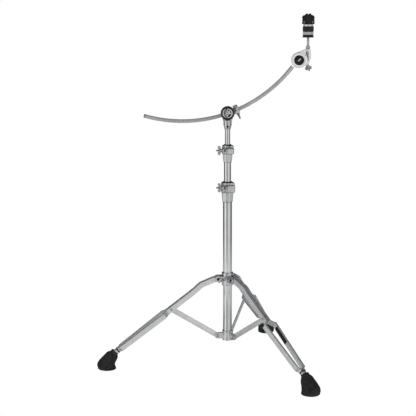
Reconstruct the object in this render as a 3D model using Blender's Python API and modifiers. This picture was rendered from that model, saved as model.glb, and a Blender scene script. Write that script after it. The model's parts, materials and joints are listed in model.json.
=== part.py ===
"""Cymbal boom stand: a folding double-braced tripod, two telescoping tubes, a curved boom arm and a
cymbal tilter. Metres, +Z up, floor at z = 0, the origin under the middle of the feet.

Heights are above the floor and radii are from the post's axis, with the stand set up.
Every leg works in a frame whose X points outwards along the leg and whose origin is the leg's hinge.
The leg's upper length and its brace are equally long, and their hinges lie at one radius, so the
collar slides exactly along the tube when the tripod folds.
"""
import math

import bmesh
import bpy
from mathutils import Matrix, Vector

FIT = 0.0003                      # gap between touching pieces

# Tripod
LEG_AZIMUTHS = [math.radians(188.4 + 120 * k) for k in range(3)]
HINGE_RADIUS = 0.0324             # of the leg hinges and of the brace hinges
LEG_HINGE_Z = 0.2830
BRACE_HINGE_Z = 0.0940
BRACE_PIVOT_RADIUS = 0.1832       # where the brace meets the leg, half-way between both hinges
BRACE_PIVOT_Z = (LEG_HINGE_Z + BRACE_HINGE_Z) / 2
RAIL_WIDTH, RAIL_HEIGHT = 0.0070, 0.0165
RAIL_END_HEIGHT = 0.0140          # in the foot
RAIL_CLOSE, RAIL_SPREAD, RAIL_TOE = 0.0060, 0.0200, 0.0125   # half the distance between two rails
RAIL_IN_FOOT = RAIL_WIDTH / 2 + FIT / 2
TOE_RADIUS, TOE_Z = 0.3590, 0.0570
BRACE_WIDTH, BRACE_THICKNESS = 0.0165, 0.0030
SOLE_CENTRE, SOLE_RADIUS = 0.3895, 0.0268
FOOT_CENTRE, FOOT_LENGTH, FOOT_WIDTH = 0.3930, 0.0300, 0.0285    # half sizes, where the foot is widest

# Post
BASE_RADIUS, MIDDLE_RADIUS, UPPER_RADIUS = 0.0143, 0.0112, 0.0082
TUBE_WALL = 0.0012
BASE_BOTTOM, BASE_TOP = 0.0830, 0.5770
MIDDLE_BOTTOM, MIDDLE_TOP = 0.3000, 0.6950
UPPER_BOTTOM, UPPER_TOP = 0.4300, 0.7900
LOWER_FERRULE_Z, LOWER_CLAMP_Z = 0.5305, 0.5640
UPPER_FERRULE_Z, UPPER_CLAMP_Z = 0.6580, 0.6820
CLAMP_HEIGHT, LOCK_HEIGHT = 0.0235, 0.0072
CLAMP_BOLT_RISE = 0.0160          # of the clamp bolts, from the clamp's foot
CLAMP_BOLT_Y = -0.0210            # the clamp bolts run along X in front of the tube
CLAMP_EAR_X = -0.0140             # left face of the clamps' ears, under the wing bolts
BOLT_RADIUS = 0.0028

# Boom
BOOM_RADIUS, BOOM_ROD = 0.4360, 0.0060
BOOM_Y = 0.0210                   # the arm passes behind the post
BOOM_PIVOT_Z = 0.8140
BOOM_DROP = 0.0040                # the arm's centre line passes this far under the pivot
BOOM_PIVOT_ANGLE = math.radians(18.98)   # place of the pivot on the arc, from straight down
BOOM_TAIL_ANGLE = math.radians(-15.5)
BOOM_HEAD_ANGLE = math.radians(54.2)
BOOM_CLAMP_REACH = 0.0310         # from the pivot to the arm clamp, along the arm
RATCHET_RADIUS = 0.0219

# Tilter and cymbal seat
TILTER_X, TILTER_Z, TILTER_RADIUS = 0.2225, 0.9770, 0.0245
HOUSING_RADIUS = 0.0180
ROD_OFFSET, ROD_Y, ROD_RADIUS = 0.0282, 0.0160, 0.0040
ROD_SEAT_Z, ROD_TOP_Z = 1.0125, 1.1120
CUP_Z, LOWER_FELT_Z, UPPER_FELT_Z, WASHER_Z, NUT_Z, NUT_TOP = 1.0464, 1.0550, 1.0645, 1.0810, 1.0870, 1.1200

ROUND = 20                        # sides of a turned piece
DOWN_TO_Y = (math.pi / 2, 0, 0)   # turns a piece's own Z towards -Y


# ---------------------------------------------------------------- scene and helpers
for old in list(bpy.data.objects):
    bpy.data.objects.remove(old)
parts = bpy.data.collections.new("cymbal_boom_stand")
cutters = bpy.data.collections.new("cutters")
for collection in (parts, cutters):
    bpy.context.scene.collection.children.link(collection)

FINISHES = {                      # colour, roughness, metallic
    "chrome": ((0.82, 0.83, 0.84), 0.10, 1.0),
    "satin": ((0.55, 0.55, 0.56), 0.38, 1.0),
    "rubber": ((0.035, 0.035, 0.037), 0.75, 0.0),
    "plastic": ((0.018, 0.018, 0.020), 0.40, 0.0),
    "nylon": ((0.03, 0.03, 0.03), 0.55, 0.0),
    "felt": ((0.42, 0.42, 0.43), 0.95, 0.0),
    "black_felt": ((0.03, 0.03, 0.03), 0.95, 0.0),
}


def finish_material(name, finish):
    """A material of the piece's own."""
    colour, roughness, metallic = FINISHES[finish]
    material = bpy.data.materials.new(name)
    material.use_nodes = True
    shader = material.node_tree.nodes["Principled BSDF"]
    shader.inputs["Base Color"].default_value = (*colour, 1)
    shader.inputs["Roughness"].default_value = roughness
    shader.inputs["Metallic"].default_value = metallic
    return material


def frame(name, parent, at=(0, 0, 0), turn=(0, 0, 0)):
    """An empty that carries pieces."""
    empty = bpy.data.objects.new(name, None)
    parts.objects.link(empty)
    empty.parent = parent
    empty.location = at
    empty.rotation_euler = turn
    return empty


def piece(name, mesh, finish, parent, at=(0, 0, 0), turn=(0, 0, 0)):
    """One solid of the stand."""
    made = bpy.data.objects.new(name, mesh)
    parts.objects.link(made)
    made.parent = parent
    made.location = at
    made.rotation_euler = turn
    mesh.materials.clear()
    mesh.materials.append(finish_material(name, finish))
    return made


def shape(mesh, parent=None, at=(0, 0, 0), turn=(0, 0, 0)):
    """A cutter, or a solid that is joined to a piece."""
    tool = bpy.data.objects.new("tool", mesh)
    cutters.objects.link(tool)
    tool.parent = parent
    tool.location = at
    tool.rotation_euler = turn
    tool.hide_render = True
    tool.display_type = "WIRE"
    return tool


def boolean(target, operation, *tools):
    for tool in tools:
        modifier = target.modifiers.new(operation.lower(), "BOOLEAN")
        modifier.operation = operation
        modifier.object = tool


def cut(target, *tools):
    boolean(target, "DIFFERENCE", *tools)


def join(target, *tools):
    boolean(target, "UNION", *tools)


def turned(made, steps=ROUND):
    """Spins the object's profile about its own Z."""
    screw = made.modifiers.new("turn", "SCREW")
    screw.steps = screw.render_steps = steps
    screw.use_merge_vertices = True
    screw.merge_threshold = 0.00001
    screw.use_normal_calculate = False
    return made


def profile(points, closed=True):
    """The outline that is spun, down its outer side: (radius, height) pairs."""
    mesh = bpy.data.meshes.new("profile")
    edges = [(k, k + 1) for k in range(len(points) - 1)]
    if closed:
        edges.append((len(points) - 1, 0))
    mesh.from_pydata([(radius, 0, height) for radius, height in points], edges, [])
    return mesh


def ring_profile(outer, inner, bottom, top, bevel=0.0004):
    return profile([(outer - bevel, top), (outer, top - bevel), (outer, bottom + bevel),
                    (outer - bevel, bottom), (inner, bottom), (inner, top)])


def box_mesh(low, high, bevel=0.0):
    """A box between two corners, its edges rounded by the bevel."""
    mesh = bpy.data.meshes.new("box")
    body = bmesh.new()
    bmesh.ops.create_cube(body, size=1)
    size = Vector(high) - Vector(low)
    middle = (Vector(high) + Vector(low)) / 2
    bmesh.ops.scale(body, vec=size, verts=body.verts)
    bmesh.ops.translate(body, vec=middle, verts=body.verts)
    if bevel:
        bmesh.ops.bevel(body, geom=body.edges, offset=bevel, segments=1, affect="EDGES")
    body.to_mesh(mesh)
    body.free()
    return mesh


def rod_mesh(radius, bottom, top, sides=ROUND):
    """A plain cylinder along Z."""
    mesh = bpy.data.meshes.new("rod")
    body = bmesh.new()
    bmesh.ops.create_cone(body, cap_ends=True, segments=sides, radius1=radius, radius2=radius,
                          depth=top - bottom)
    bmesh.ops.translate(body, vec=(0, 0, (top + bottom) / 2), verts=body.verts)
    body.to_mesh(mesh)
    body.free()
    return mesh


def mesh_of_curve(curve):
    """A closed mesh of a curve whose caps are still loose."""
    source = bpy.data.objects.new("curve", curve)
    bpy.context.scene.collection.objects.link(source)
    graph = bpy.context.evaluated_depsgraph_get()
    mesh = bpy.data.meshes.new_from_object(source.evaluated_get(graph))
    bpy.data.objects.remove(source)
    body = bmesh.new()
    body.from_mesh(mesh)
    bmesh.ops.remove_doubles(body, verts=body.verts, dist=0.000001)
    body.to_mesh(mesh)
    body.free()
    return mesh


def plate_mesh(outline, thickness):
    """A flat outline in the XY plane, given thickness along Z."""
    curve = bpy.data.curves.new("outline", "CURVE")
    curve.dimensions = "2D"
    curve.fill_mode = "BOTH"
    curve.extrude = thickness / 2
    spline = curve.splines.new("POLY")
    spline.points.add(len(outline) - 1)
    for point, (x, y) in zip(spline.points, outline):
        point.co = (x, y, 0, 1)
    spline.use_cyclic_u = True
    return mesh_of_curve(curve)


def upright_plate(outline, thickness):
    """A plate whose outline is given as (x, z) pairs, with its thickness along Y."""
    mesh = plate_mesh(outline, thickness)
    mesh.transform(Matrix.Rotation(math.pi / 2, 4, "X"))
    return mesh


def rod_along(points, radius, resolution=3):
    """A round bar along a line of points."""
    curve = bpy.data.curves.new("bar", "CURVE")
    curve.dimensions = "3D"
    curve.bevel_depth = radius
    curve.bevel_resolution = resolution
    curve.use_fill_caps = True
    spline = curve.splines.new("POLY")
    spline.points.add(len(points) - 1)
    for point, place in zip(spline.points, points):
        point.co = (*place, 1)
    return mesh_of_curve(curve)


def arc(centre, radius, start, end, count):
    """Points on an arc, angles in radians from +X towards the second axis."""
    step = (end - start) / (count - 1)
    return [(centre[0] + radius * math.cos(start + k * step),
             centre[1] + radius * math.sin(start + k * step)) for k in range(count)]


def link(start, start_radius, end, end_radius, count=6):
    """The outline around two circles, such as a strap with two round ends."""
    along = Vector(end) - Vector(start)
    heading = math.atan2(along.y, along.x)
    lean = math.acos((start_radius - end_radius) / along.length)
    far = arc(end, end_radius, heading - lean, heading + lean, count)
    near = arc(start, start_radius, heading + lean, heading + 2 * math.pi - lean, count)
    return far + near


def loft(rings):
    """A closed solid through rings that have the same number of points."""
    mesh = bpy.data.meshes.new("loft")
    body = bmesh.new()
    rows = [[body.verts.new(point) for point in ring] for ring in rings]
    count = len(rows[0])
    for low, high in zip(rows, rows[1:]):
        for k in range(count):
            body.faces.new((low[k], low[(k + 1) % count], high[(k + 1) % count], high[k]))
    body.faces.new(list(reversed(rows[0])))
    body.faces.new(rows[-1])
    bmesh.ops.recalc_face_normals(body, faces=body.faces)
    body.to_mesh(mesh)
    body.free()
    return mesh


# ---------------------------------------------------------------- fasteners
def wing_bolt(name, parent, at, turn, shank, neck=0.012, wing=0.0095, twist=0.0):
    """A bolt with two wings: its own Z points out of the clamp and z = 0 is the clamp's face."""
    hub = profile([(0, neck + 0.0190), (0.0022, neck + 0.0180), (0.0036, neck + 0.0060),
                   (0.0052, neck + 0.0020), (0.0052, FIT), (BOLT_RADIUS, FIT), (BOLT_RADIUS, -shank),
                   (0, -shank)], closed=False)
    bolt = turned(piece(name, hub, "chrome", parent, at, turn), 12)
    for side in (-1, 1):
        ear = link((side * 0.0015, neck + 0.0035), 0.0035, (side * wing, neck + 0.0085), 0.0052)
        join(bolt, shape(upright_plate(ear, 0.0034), bolt, turn=(0, 0, twist)))
    return bolt


def rivet(name, parent, at, half_length, radius=0.0024, head=0.0040):
    """A round-headed rivet along its parent's Y, centred on its own origin."""
    dome = 0.0016
    outline = profile([(0, half_length + dome), (head * 0.7, half_length + dome * 0.7),
                       (head, half_length + FIT), (radius, half_length + FIT),
                       (radius, -half_length - FIT), (head, -half_length - FIT),
                       (head * 0.7, -half_length - dome * 0.7), (0, -half_length - dome)], closed=False)
    return turned(piece(name, outline, "chrome", parent, at, DOWN_TO_Y), 10)


# ---------------------------------------------------------------- tripod
def leg_point(radius, height):
    """A place in the leg's own plane, in the leg's frame."""
    return (radius - HINGE_RADIUS, height - LEG_HINGE_Z)


def on_leg_line(radius):
    """Height of the leg's centre line between the brace pivot and the toe."""
    slope = (TOE_Z - BRACE_PIVOT_Z) / (TOE_RADIUS - BRACE_PIVOT_RADIUS)
    return BRACE_PIVOT_Z + slope * (radius - BRACE_PIVOT_RADIUS)


def rail_mesh(side):
    """One of a leg's two rails: a bar that is bent at the kink, spreads at the shoulder and closes again
    where it enters the foot."""
    kink_radius, kink_z = 0.0818, 0.2662
    stations = [
        (0.0262, LEG_HINGE_Z + 0.0028, RAIL_CLOSE),
        (kink_radius - 0.010, kink_z + 0.0036, RAIL_CLOSE),
        (kink_radius, kink_z, RAIL_CLOSE),
        (kink_radius + 0.009, kink_z - 0.0062, RAIL_CLOSE),
        (BRACE_PIVOT_RADIUS, BRACE_PIVOT_Z, RAIL_CLOSE),
        (0.1935, on_leg_line(0.1935), RAIL_CLOSE),
        (0.1965, on_leg_line(0.1965), RAIL_CLOSE + 0.001),
        (0.2065, on_leg_line(0.2065), RAIL_SPREAD - 0.001),
        (0.2095, on_leg_line(0.2095), RAIL_SPREAD),
        (0.3400, on_leg_line(0.3400), RAIL_TOE),
        (0.3440, on_leg_line(0.3440), RAIL_TOE - 0.001),
        (0.3540, on_leg_line(0.3540), RAIL_IN_FOOT),
        (0.3740, on_leg_line(0.3740), RAIL_IN_FOOT),
    ]
    rings = []
    for k, (radius, height, offset) in enumerate(stations):
        before, after = stations[max(k - 1, 0)], stations[min(k + 1, len(stations) - 1)]
        heading = Vector((after[0] - before[0], after[1] - before[1])).normalized()
        size = RAIL_END_HEIGHT if offset == RAIL_IN_FOOT else RAIL_HEIGHT
        up = Vector((-heading.y, heading.x)) * size / 2
        x, z = leg_point(radius, height)
        y = side * offset
        half = RAIL_WIDTH / 2
        rings.append([(x + up.x, y - half, z + up.y), (x + up.x, y + half, z + up.y),
                      (x - up.x, y + half, z - up.y), (x - up.x, y - half, z - up.y)])
    return loft(rings)


def foot_mesh():
    """The rubber foot: a round sole that narrows into a slanted collar around the leg's end."""
    sections = [                  # centre's radius, height, length, width, slant
        (SOLE_CENTRE, 0.0, SOLE_RADIUS, 0.0260, 0.0),
        (0.3912, 0.0035, 0.0296, 0.0283, 0.0),
        (FOOT_CENTRE, 0.0130, FOOT_LENGTH, FOOT_WIDTH, 3.0),
        (0.3855, 0.0300, 0.0262, 0.0248, 8.0),
        (0.3738, 0.0465, 0.0196, 0.0184, 22.0),
        (0.3640, 0.0562, 0.0122, 0.0130, 39.0),
    ]
    rings = []
    for radius, height, length, width, slant in sections:
        x, z = leg_point(radius, height)
        lean = math.radians(slant)
        rings.append([(x + length * math.cos(turn) * math.cos(lean), width * math.sin(turn),
                       z + length * math.cos(turn) * math.sin(lean))
                      for turn in [2 * math.pi * k / 20 for k in range(20)]])
    return loft(rings)


def build_leg(number, stand, azimuth):
    hinge = (HINGE_RADIUS * math.cos(azimuth), HINGE_RADIUS * math.sin(azimuth), LEG_HINGE_Z)
    leg = frame(f"leg_{number}_frame", stand, hinge, (0, 0, azimuth))
    for side, label in ((-1, "right"), (1, "left")):
        piece(f"leg_{number}_{label}_rail", rail_mesh(side), "chrome", leg)
    rivet(f"leg_{number}_hinge_pin", leg, (0, 0, 0), 0.0136)

    foot = piece(f"foot_{number}", foot_mesh(), "rubber", leg)
    slope = math.atan2(BRACE_PIVOT_Z - TOE_Z, TOE_RADIUS - BRACE_PIVOT_RADIUS)
    x, z = leg_point(0.3745, on_leg_line(0.3745))
    pocket = box_mesh((-0.060, -RAIL_WIDTH - 3 * FIT, -RAIL_END_HEIGHT / 2 - FIT),
                      (0, RAIL_WIDTH + 3 * FIT, RAIL_END_HEIGHT / 2 + FIT))
    cut(foot, shape(pocket, leg, (x, 0, z), (0, slope, 0)))

    pivot = leg_point(BRACE_PIVOT_RADIUS, BRACE_PIVOT_Z)
    brace = frame(f"brace_{number}_frame", leg, (pivot[0], 0, pivot[1]))
    inner = (HINGE_RADIUS - BRACE_PIVOT_RADIUS, BRACE_HINGE_Z - BRACE_PIVOT_Z)
    strap = piece(f"brace_{number}", upright_plate(link((0, 0), BRACE_WIDTH / 2, inner, BRACE_WIDTH / 2),
                                                   BRACE_THICKNESS), "chrome", brace)
    for x, z in ((0, 0), inner):
        cut(strap, shape(rod_mesh(0.0027, -0.004, 0.004, 10), brace, (x, 0, z), DOWN_TO_Y))
    rivet(f"leg_{number}_brace_rivet", brace, (0, 0, 0), RAIL_CLOSE + RAIL_WIDTH / 2)
    for side, label in ((-1, "right"), (1, "left")):
        rail = bpy.data.objects[f"leg_{number}_{label}_rail"]
        cut(rail, shape(rod_mesh(0.0027, -0.03, 0.03, 10), brace, (0, 0, 0), DOWN_TO_Y),
            shape(rod_mesh(0.0027, -0.03, 0.03, 10), leg, (0, 0, 0), DOWN_TO_Y))


def ears(stand, azimuth, height, start, radius, places, thickness):
    """The plates of a hinge fork, in pairs at both sides of the leg's plane."""
    outline = link((start, height), radius, (HINGE_RADIUS, height), radius)
    return [shape(upright_plate([(max(x, start), z) for x, z in outline], thickness), stand,
                  (-y * math.sin(azimuth), y * math.cos(azimuth), 0), (0, 0, azimuth))
            for y in places]


def build_collars(stand):
    """The sliding leg collar and the brace collar that is fixed to the foot of the base tube."""
    bore = BASE_RADIUS + FIT
    leg_barrel = ring_profile(0.0185, bore, 0.2610, 0.3030, 0.001)
    leg_collar = turned(piece("leg_collar", leg_barrel, "chrome", stand))
    brace_collar = turned(piece("brace_collar", ring_profile(0.0166, bore, 0.0790, 0.1105), "chrome", stand))
    for azimuth in LEG_AZIMUTHS:
        join(leg_collar, *ears(stand, azimuth, LEG_HINGE_Z, 0.0120, 0.0100, (-0.0118, 0.0118), 0.0030))
        join(brace_collar, *ears(stand, azimuth, BRACE_HINGE_Z, 0.0153, 0.0095, (-0.0030, 0.0030), 0.0022))
        hinge = (HINGE_RADIUS * math.cos(azimuth), HINGE_RADIUS * math.sin(azimuth))
        for collar, height in ((leg_collar, LEG_HINGE_Z), (brace_collar, BRACE_HINGE_Z)):
            cut(collar, shape(rod_mesh(0.0027, -0.016, 0.016, 10), stand, (*hinge, height),
                              (math.pi / 2, 0, azimuth)))
    for number, azimuth in enumerate(LEG_AZIMUTHS, 1):
        hinge = (HINGE_RADIUS * math.cos(azimuth), HINGE_RADIUS * math.sin(azimuth), BRACE_HINGE_Z)
        rivet(f"brace_collar_rivet_{number}", frame(f"brace_hinge_{number}", stand, hinge, (0, 0, azimuth)),
              (0, 0, 0), 0.0042)

    azimuth, height, face = LEG_AZIMUTHS[0] + math.radians(60), 0.2860, 0.0250
    boss = frame("leg_collar_bolt_frame", stand, (0, 0, height), (0, math.pi / 2, azimuth))
    join(leg_collar, shape(rod_mesh(0.0070, 0.0160, face, 20), boss))
    cut(leg_collar, shape(rod_mesh(BOLT_RADIUS + FIT, 0.0100, 0.0300, 16), boss))
    wing_bolt("leg_collar_wing_bolt", boss, (0, 0, face), (0, 0, 0), 0.0095, twist=math.radians(-52))


# ---------------------------------------------------------------- telescoping post
def tube(name, parent, radius, bottom, top, at=(0, 0, 0)):
    wall = ring_profile(radius, radius - TUBE_WALL, bottom, top, 0.0003)
    return turned(piece(name, wall, "chrome", parent, at))


def build_clamp(level, stand, tube_radius, inner_radius, ferrule_z, clamp_z, ferrule):
    """A tube clamp with its ferrule, its bushing and wing bolt, and the stop lock that rests on it."""
    top = clamp_z + CLAMP_HEIGHT
    bore = tube_radius + FIT
    band = ferrule[0] + 0.0012
    clamp = turned(piece(f"{level}_clamp", profile([
        (band - 0.001, top), (band, top - 0.001), (band, clamp_z + 0.0015), (ferrule[0], clamp_z),
        (ferrule[1], ferrule_z + 0.002), (ferrule[1] - 0.0012, ferrule_z), (bore, ferrule_z), (bore, top)]),
        "chrome", stand))
    bolt_z = clamp_z + CLAMP_BOLT_RISE
    front = CLAMP_BOLT_Y - 0.0070
    join(clamp, shape(box_mesh((CLAMP_EAR_X, front, clamp_z + 0.0008),
                               (band + 0.0030, -bore + 0.0005, top - 0.0006), 0.0012), stand))
    cut(clamp, shape(box_mesh((-0.0035, -0.05, ferrule_z - 0.01), (-0.0010, -0.001, top + 0.01)), stand),
        shape(rod_mesh(bore, ferrule_z - 0.01, top + 0.01), stand),
        shape(rod_mesh(BOLT_RADIUS + FIT, -0.05, 0.05, 16), stand, (0, CLAMP_BOLT_Y, bolt_z),
              (0, math.pi / 2, 0)))
    wing_bolt(f"{level}_clamp_wing_bolt", stand, (CLAMP_EAR_X, CLAMP_BOLT_Y, bolt_z), (0, -math.pi / 2, 0),
              0.0300, 0.0040)

    sleeve = inner_radius + FIT
    turned(piece(f"{level}_clamp_bushing", profile([
        (tube_radius - 0.0004, top - 0.0006), (tube_radius - 0.0004, top - 0.0032),
        (tube_radius - TUBE_WALL - FIT, top - 0.0032), (tube_radius - TUBE_WALL - FIT, ferrule_z - 0.01),
        (sleeve, ferrule_z - 0.01), (sleeve, top - 0.0006)]), "nylon", stand))

    lock_z, lock_top = top + FIT, top + LOCK_HEIGHT
    insert = inner_radius + 0.0032
    ring = ring_profile(band - 0.0006, insert + FIT, lock_z, lock_top, 0.001)
    lock = turned(piece(f"{level}_stop_lock", ring, "chrome", stand))
    join(lock, shape(box_mesh((0.0010, -0.0180, lock_z + 0.0004), (band + 0.0010, -insert, lock_top - 0.0004),
                              0.0010), stand))
    cut(lock, shape(box_mesh((0.0060, -0.05, lock_z - 0.01), (0.0080, -0.001, lock_top + 0.01)), stand),
        shape(rod_mesh(insert + FIT, lock_z - 0.01, lock_top + 0.01), stand))
    turned(piece(f"{level}_stop_lock_insert", ring_profile(insert, sleeve, lock_z + 0.001, lock_top + 0.0028),
                 "nylon", stand))


def build_post(stand):
    tube("base_tube", stand, BASE_RADIUS, BASE_BOTTOM, BASE_TOP)
    plug = BASE_RADIUS - TUBE_WALL - FIT
    turned(piece("base_tube_plug", profile([
        (0, BASE_BOTTOM + 0.010), (plug, BASE_BOTTOM + 0.010), (plug, BASE_BOTTOM - FIT),
        (BASE_RADIUS, BASE_BOTTOM - FIT), (BASE_RADIUS - 0.001, BASE_BOTTOM - 0.003),
        (0, BASE_BOTTOM - 0.003)],
        closed=False), "nylon", stand))
    tube("middle_tube", stand, MIDDLE_RADIUS, MIDDLE_BOTTOM, MIDDLE_TOP)
    tube("upper_tube", stand, UPPER_RADIUS, UPPER_BOTTOM, UPPER_TOP)
    build_clamp("lower", stand, BASE_RADIUS, MIDDLE_RADIUS, LOWER_FERRULE_Z, LOWER_CLAMP_Z,
                (0.0194, 0.0163))
    build_clamp("upper", stand, MIDDLE_RADIUS, UPPER_RADIUS, UPPER_FERRULE_Z, UPPER_CLAMP_Z,
                (0.0160, 0.0132))


# ---------------------------------------------------------------- boom
BOOM_CENTRE = (-BOOM_RADIUS * math.sin(BOOM_PIVOT_ANGLE),
               BOOM_PIVOT_Z - BOOM_DROP + BOOM_RADIUS * math.cos(BOOM_PIVOT_ANGLE))


def on_boom(angle):
    """A place on the arm's centre line; the angle is from straight down, at the arc's centre."""
    return (BOOM_CENTRE[0] + BOOM_RADIUS * math.sin(angle), BOOM_Y,
            BOOM_CENTRE[1] - BOOM_RADIUS * math.cos(angle))


def boom_rod(start, end, radius, count):
    return rod_along([on_boom(start + (end - start) * k / (count - 1)) for k in range(count)], radius)


def build_yoke(stand):
    yoke = turned(piece("boom_yoke", profile([
        (0.0120, 0.7920), (0.0128, 0.7900), (0.0128, 0.7760), (0.0098, 0.7640), (0.0093, 0.7630),
        (0.0060, 0.7630), (0.0060, 0.7920)]), "chrome", stand))
    head = link((0, 0.7850), 0.0128, (0, BOOM_PIVOT_Z), 0.0200)
    join(yoke, shape(upright_plate(head, 0.0100), stand))
    cut(yoke, shape(rod_mesh(UPPER_RADIUS + FIT, 0.7500, UPPER_TOP + 0.001), stand),
        shape(rod_mesh(0.0043, -0.02, 0.02, 20), stand, (0, 0, BOOM_PIVOT_Z), DOWN_TO_Y),
        shape(rod_mesh(0.0023, 0.0, 0.03, 14), stand, (0, 0, 0.7720), DOWN_TO_Y))
    screw = profile([(0, 0.0150), (0.0030, 0.0150), (0.0034, 0.0144), (0.0034, 0.0131), (0.0020, 0.0131),
                     (0.0020, UPPER_RADIUS + FIT), (0, UPPER_RADIUS + FIT)], closed=False)
    turned(piece("boom_yoke_screw", screw, "plastic", stand, (0, 0, 0.7720), DOWN_TO_Y), 14)
    pivot = (0, 0, BOOM_PIVOT_Z)
    cap = profile([(RATCHET_RADIUS - 0.0030, 0.0160), (RATCHET_RADIUS - 0.0006, 0.0144),
                   (RATCHET_RADIUS, 0.0120), (RATCHET_RADIUS, 0.0053), (0.0043, 0.0053), (0.0043, 0.0160)])
    turned(piece("boom_ratchet_cap", cap, "chrome", stand, pivot, DOWN_TO_Y), 24)
    bolt = profile([(0, 0.0196), (0.0040, 0.0192), (0.0070, 0.0176), (0.0070, 0.0163), (0.0040, 0.0163),
                    (0.0040, -0.0102), (0, -0.0102)], closed=False)
    turned(piece("boom_pivot_bolt", bolt, "chrome", stand, pivot, DOWN_TO_Y), 14)


def build_boom_clamp(stand):
    """The rear ratchet disc with the split clamp that holds the arm."""
    pivot = (0, 0, BOOM_PIVOT_Z)
    disc = profile([(0.0043, -0.0053), (RATCHET_RADIUS - 0.0020, -0.0053), (RATCHET_RADIUS - 0.0020, -0.0110),
                    (0.0170, -0.0138), (0, -0.0138), (0, -0.0128), (0.0043, -0.0128)])
    clamp = turned(piece("boom_clamp", disc, "chrome", stand, pivot, DOWN_TO_Y), 24)
    angle = BOOM_PIVOT_ANGLE + BOOM_CLAMP_REACH / BOOM_RADIUS
    place = on_boom(angle)
    # X runs along the arm and Z points to the arc's centre
    local = frame("boom_clamp_frame", stand, place, (0, -angle, 0))
    sleeve = rod_mesh(0.0102, -0.0430, 0.0080, 18)
    sleeve.transform(Matrix.Rotation(math.pi / 2, 4, "Y"))
    bolt_y = -BOOM_ROD - FIT - BOLT_RADIUS - 0.0022
    join(clamp, shape(sleeve, local),
         shape(box_mesh((-0.0080, bolt_y - 0.0052, -0.0100), (0.0080, 0.0040, 0.0112), 0.0010), local))
    spread = 0.09
    cut(clamp, shape(boom_rod(angle - spread * 1.6, angle + spread, BOOM_ROD + 0.0004, 12), stand),
        shape(box_mesh((-0.0300, bolt_y - 0.02, -0.0012), (0.0200, 0, 0.0012)), local),
        shape(rod_mesh(BOLT_RADIUS + FIT, -0.03, 0.03, 16), local, (0, bolt_y, 0)))
    wing_bolt("boom_clamp_wing_bolt", local, (0, bolt_y, -0.0100), (math.pi, 0, 0), 0.0270, 0.0005, 0.0075,
              math.pi / 2)
    hex_nut = piece("boom_clamp_nut", rod_mesh(0.0072, 0.0115, 0.0168, 6), "chrome", local, (0, bolt_y, 0))
    cut(hex_nut, shape(rod_mesh(BOLT_RADIUS + FIT, 0.0, 0.03, 16), local, (0, bolt_y, 0)))


def build_boom(stand):
    build_yoke(stand)
    build_boom_clamp(stand)
    centre = frame("boom_arc_centre", stand, (BOOM_CENTRE[0], BOOM_Y, BOOM_CENTRE[1]))
    arm = boom_rod(BOOM_TAIL_ANGLE, BOOM_HEAD_ANGLE - 0.030, BOOM_ROD, 33)
    arm.transform(Matrix.Translation((-BOOM_CENTRE[0], -BOOM_Y, -BOOM_CENTRE[1])))
    piece("boom_arm", arm, "satin", centre)
    x, y, z = on_boom(BOOM_TAIL_ANGLE)
    tail = frame("boom_tail", stand, (x, y, z), (0, -BOOM_TAIL_ANGLE - math.pi / 2, 0))
    cap = profile([(0, 0.0060), (0.0036, 0.0054), (0.0062, 0.0030), (0.0062, FIT), (0, FIT)], closed=False)
    turned(piece("boom_arm_end_cap", cap, "plastic", tail), 20)


# ---------------------------------------------------------------- tilter
def build_tilter(stand):
    centre = (TILTER_X, 0, TILTER_Z)
    tilter = frame("tilter_frame", stand, centre)
    housing = turned(piece("tilter_housing", profile([
        (0, -0.0130), (HOUSING_RADIUS - 0.0008, -0.0130), (HOUSING_RADIUS, -0.0138),
        (HOUSING_RADIUS, -0.0270), (HOUSING_RADIUS - 0.0030, -0.0300), (0, -0.0300)], closed=False),
        "chrome", tilter, (0, 0, 0), DOWN_TO_Y))
    cut(housing, shape(boom_rod(BOOM_HEAD_ANGLE - 0.14, BOOM_HEAD_ANGLE - 0.0292, BOOM_ROD + FIT, 6), stand))

    bracket = turned(piece("tilter_bracket", profile([
        (0, -0.0020), (TILTER_RADIUS - 0.0015, -0.0020), (TILTER_RADIUS, -0.0035), (TILTER_RADIUS, -0.0125),
        (0, -0.0125)], closed=False), "chrome", tilter, (0, 0, 0), DOWN_TO_Y), 24)
    web = [(-0.0088, 0.0225), (0.0160, 0.0325), (0.0220, 0.0350), (0.0350, 0.0350), (0.0373, 0.0170),
           (0.0356, 0.0030), (0.0310, -0.0110), (0.0262, -0.0148), (0.0120, -0.0208), (0.0, 0.0)]
    block = [(0.0194, -0.0140), (0.0262, -0.0150), (0.0310, -0.0112), (0.0357, 0.0030), (0.0374, 0.0170),
             (0.0352, 0.0355), (0.0215, 0.0355), (0.0194, 0.0300)]
    join(bracket, shape(upright_plate(web, 0.0080), tilter, (0, 0.0080, 0)),
         shape(upright_plate(block, 0.0280), tilter, (0, ROD_Y, 0)))
    cut(bracket, shape(rod_mesh(ROD_RADIUS + FIT, 0.0130, 0.0500, 20), tilter, (ROD_OFFSET, ROD_Y, 0)))

    lean = math.radians(160)
    foot = (0.0262, ROD_Y, -0.0142)
    bolt = frame("tilter_bolt_frame", tilter, foot, (0, lean, 0))
    join(bracket, shape(rod_mesh(0.0058, -0.0060, 0.0020, 18), bolt))
    cut(bracket, shape(rod_mesh(BOLT_RADIUS + FIT, -0.0130, 0.0100, 16), bolt))
    wing_bolt("tilter_wing_bolt", bolt, (0, 0, 0.0020), (0, 0, 0), 0.0120, 0.0010, 0.0080, math.pi / 4)

    badge = profile([(0, 0.0008), (0.0135, 0.0006), (0.0150, -0.0006), (0.0150, -0.0017), (0, -0.0017)],
                    closed=False)
    turned(piece("tilter_badge", badge, "plastic", tilter, (0, 0, 0), DOWN_TO_Y), 24)


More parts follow.
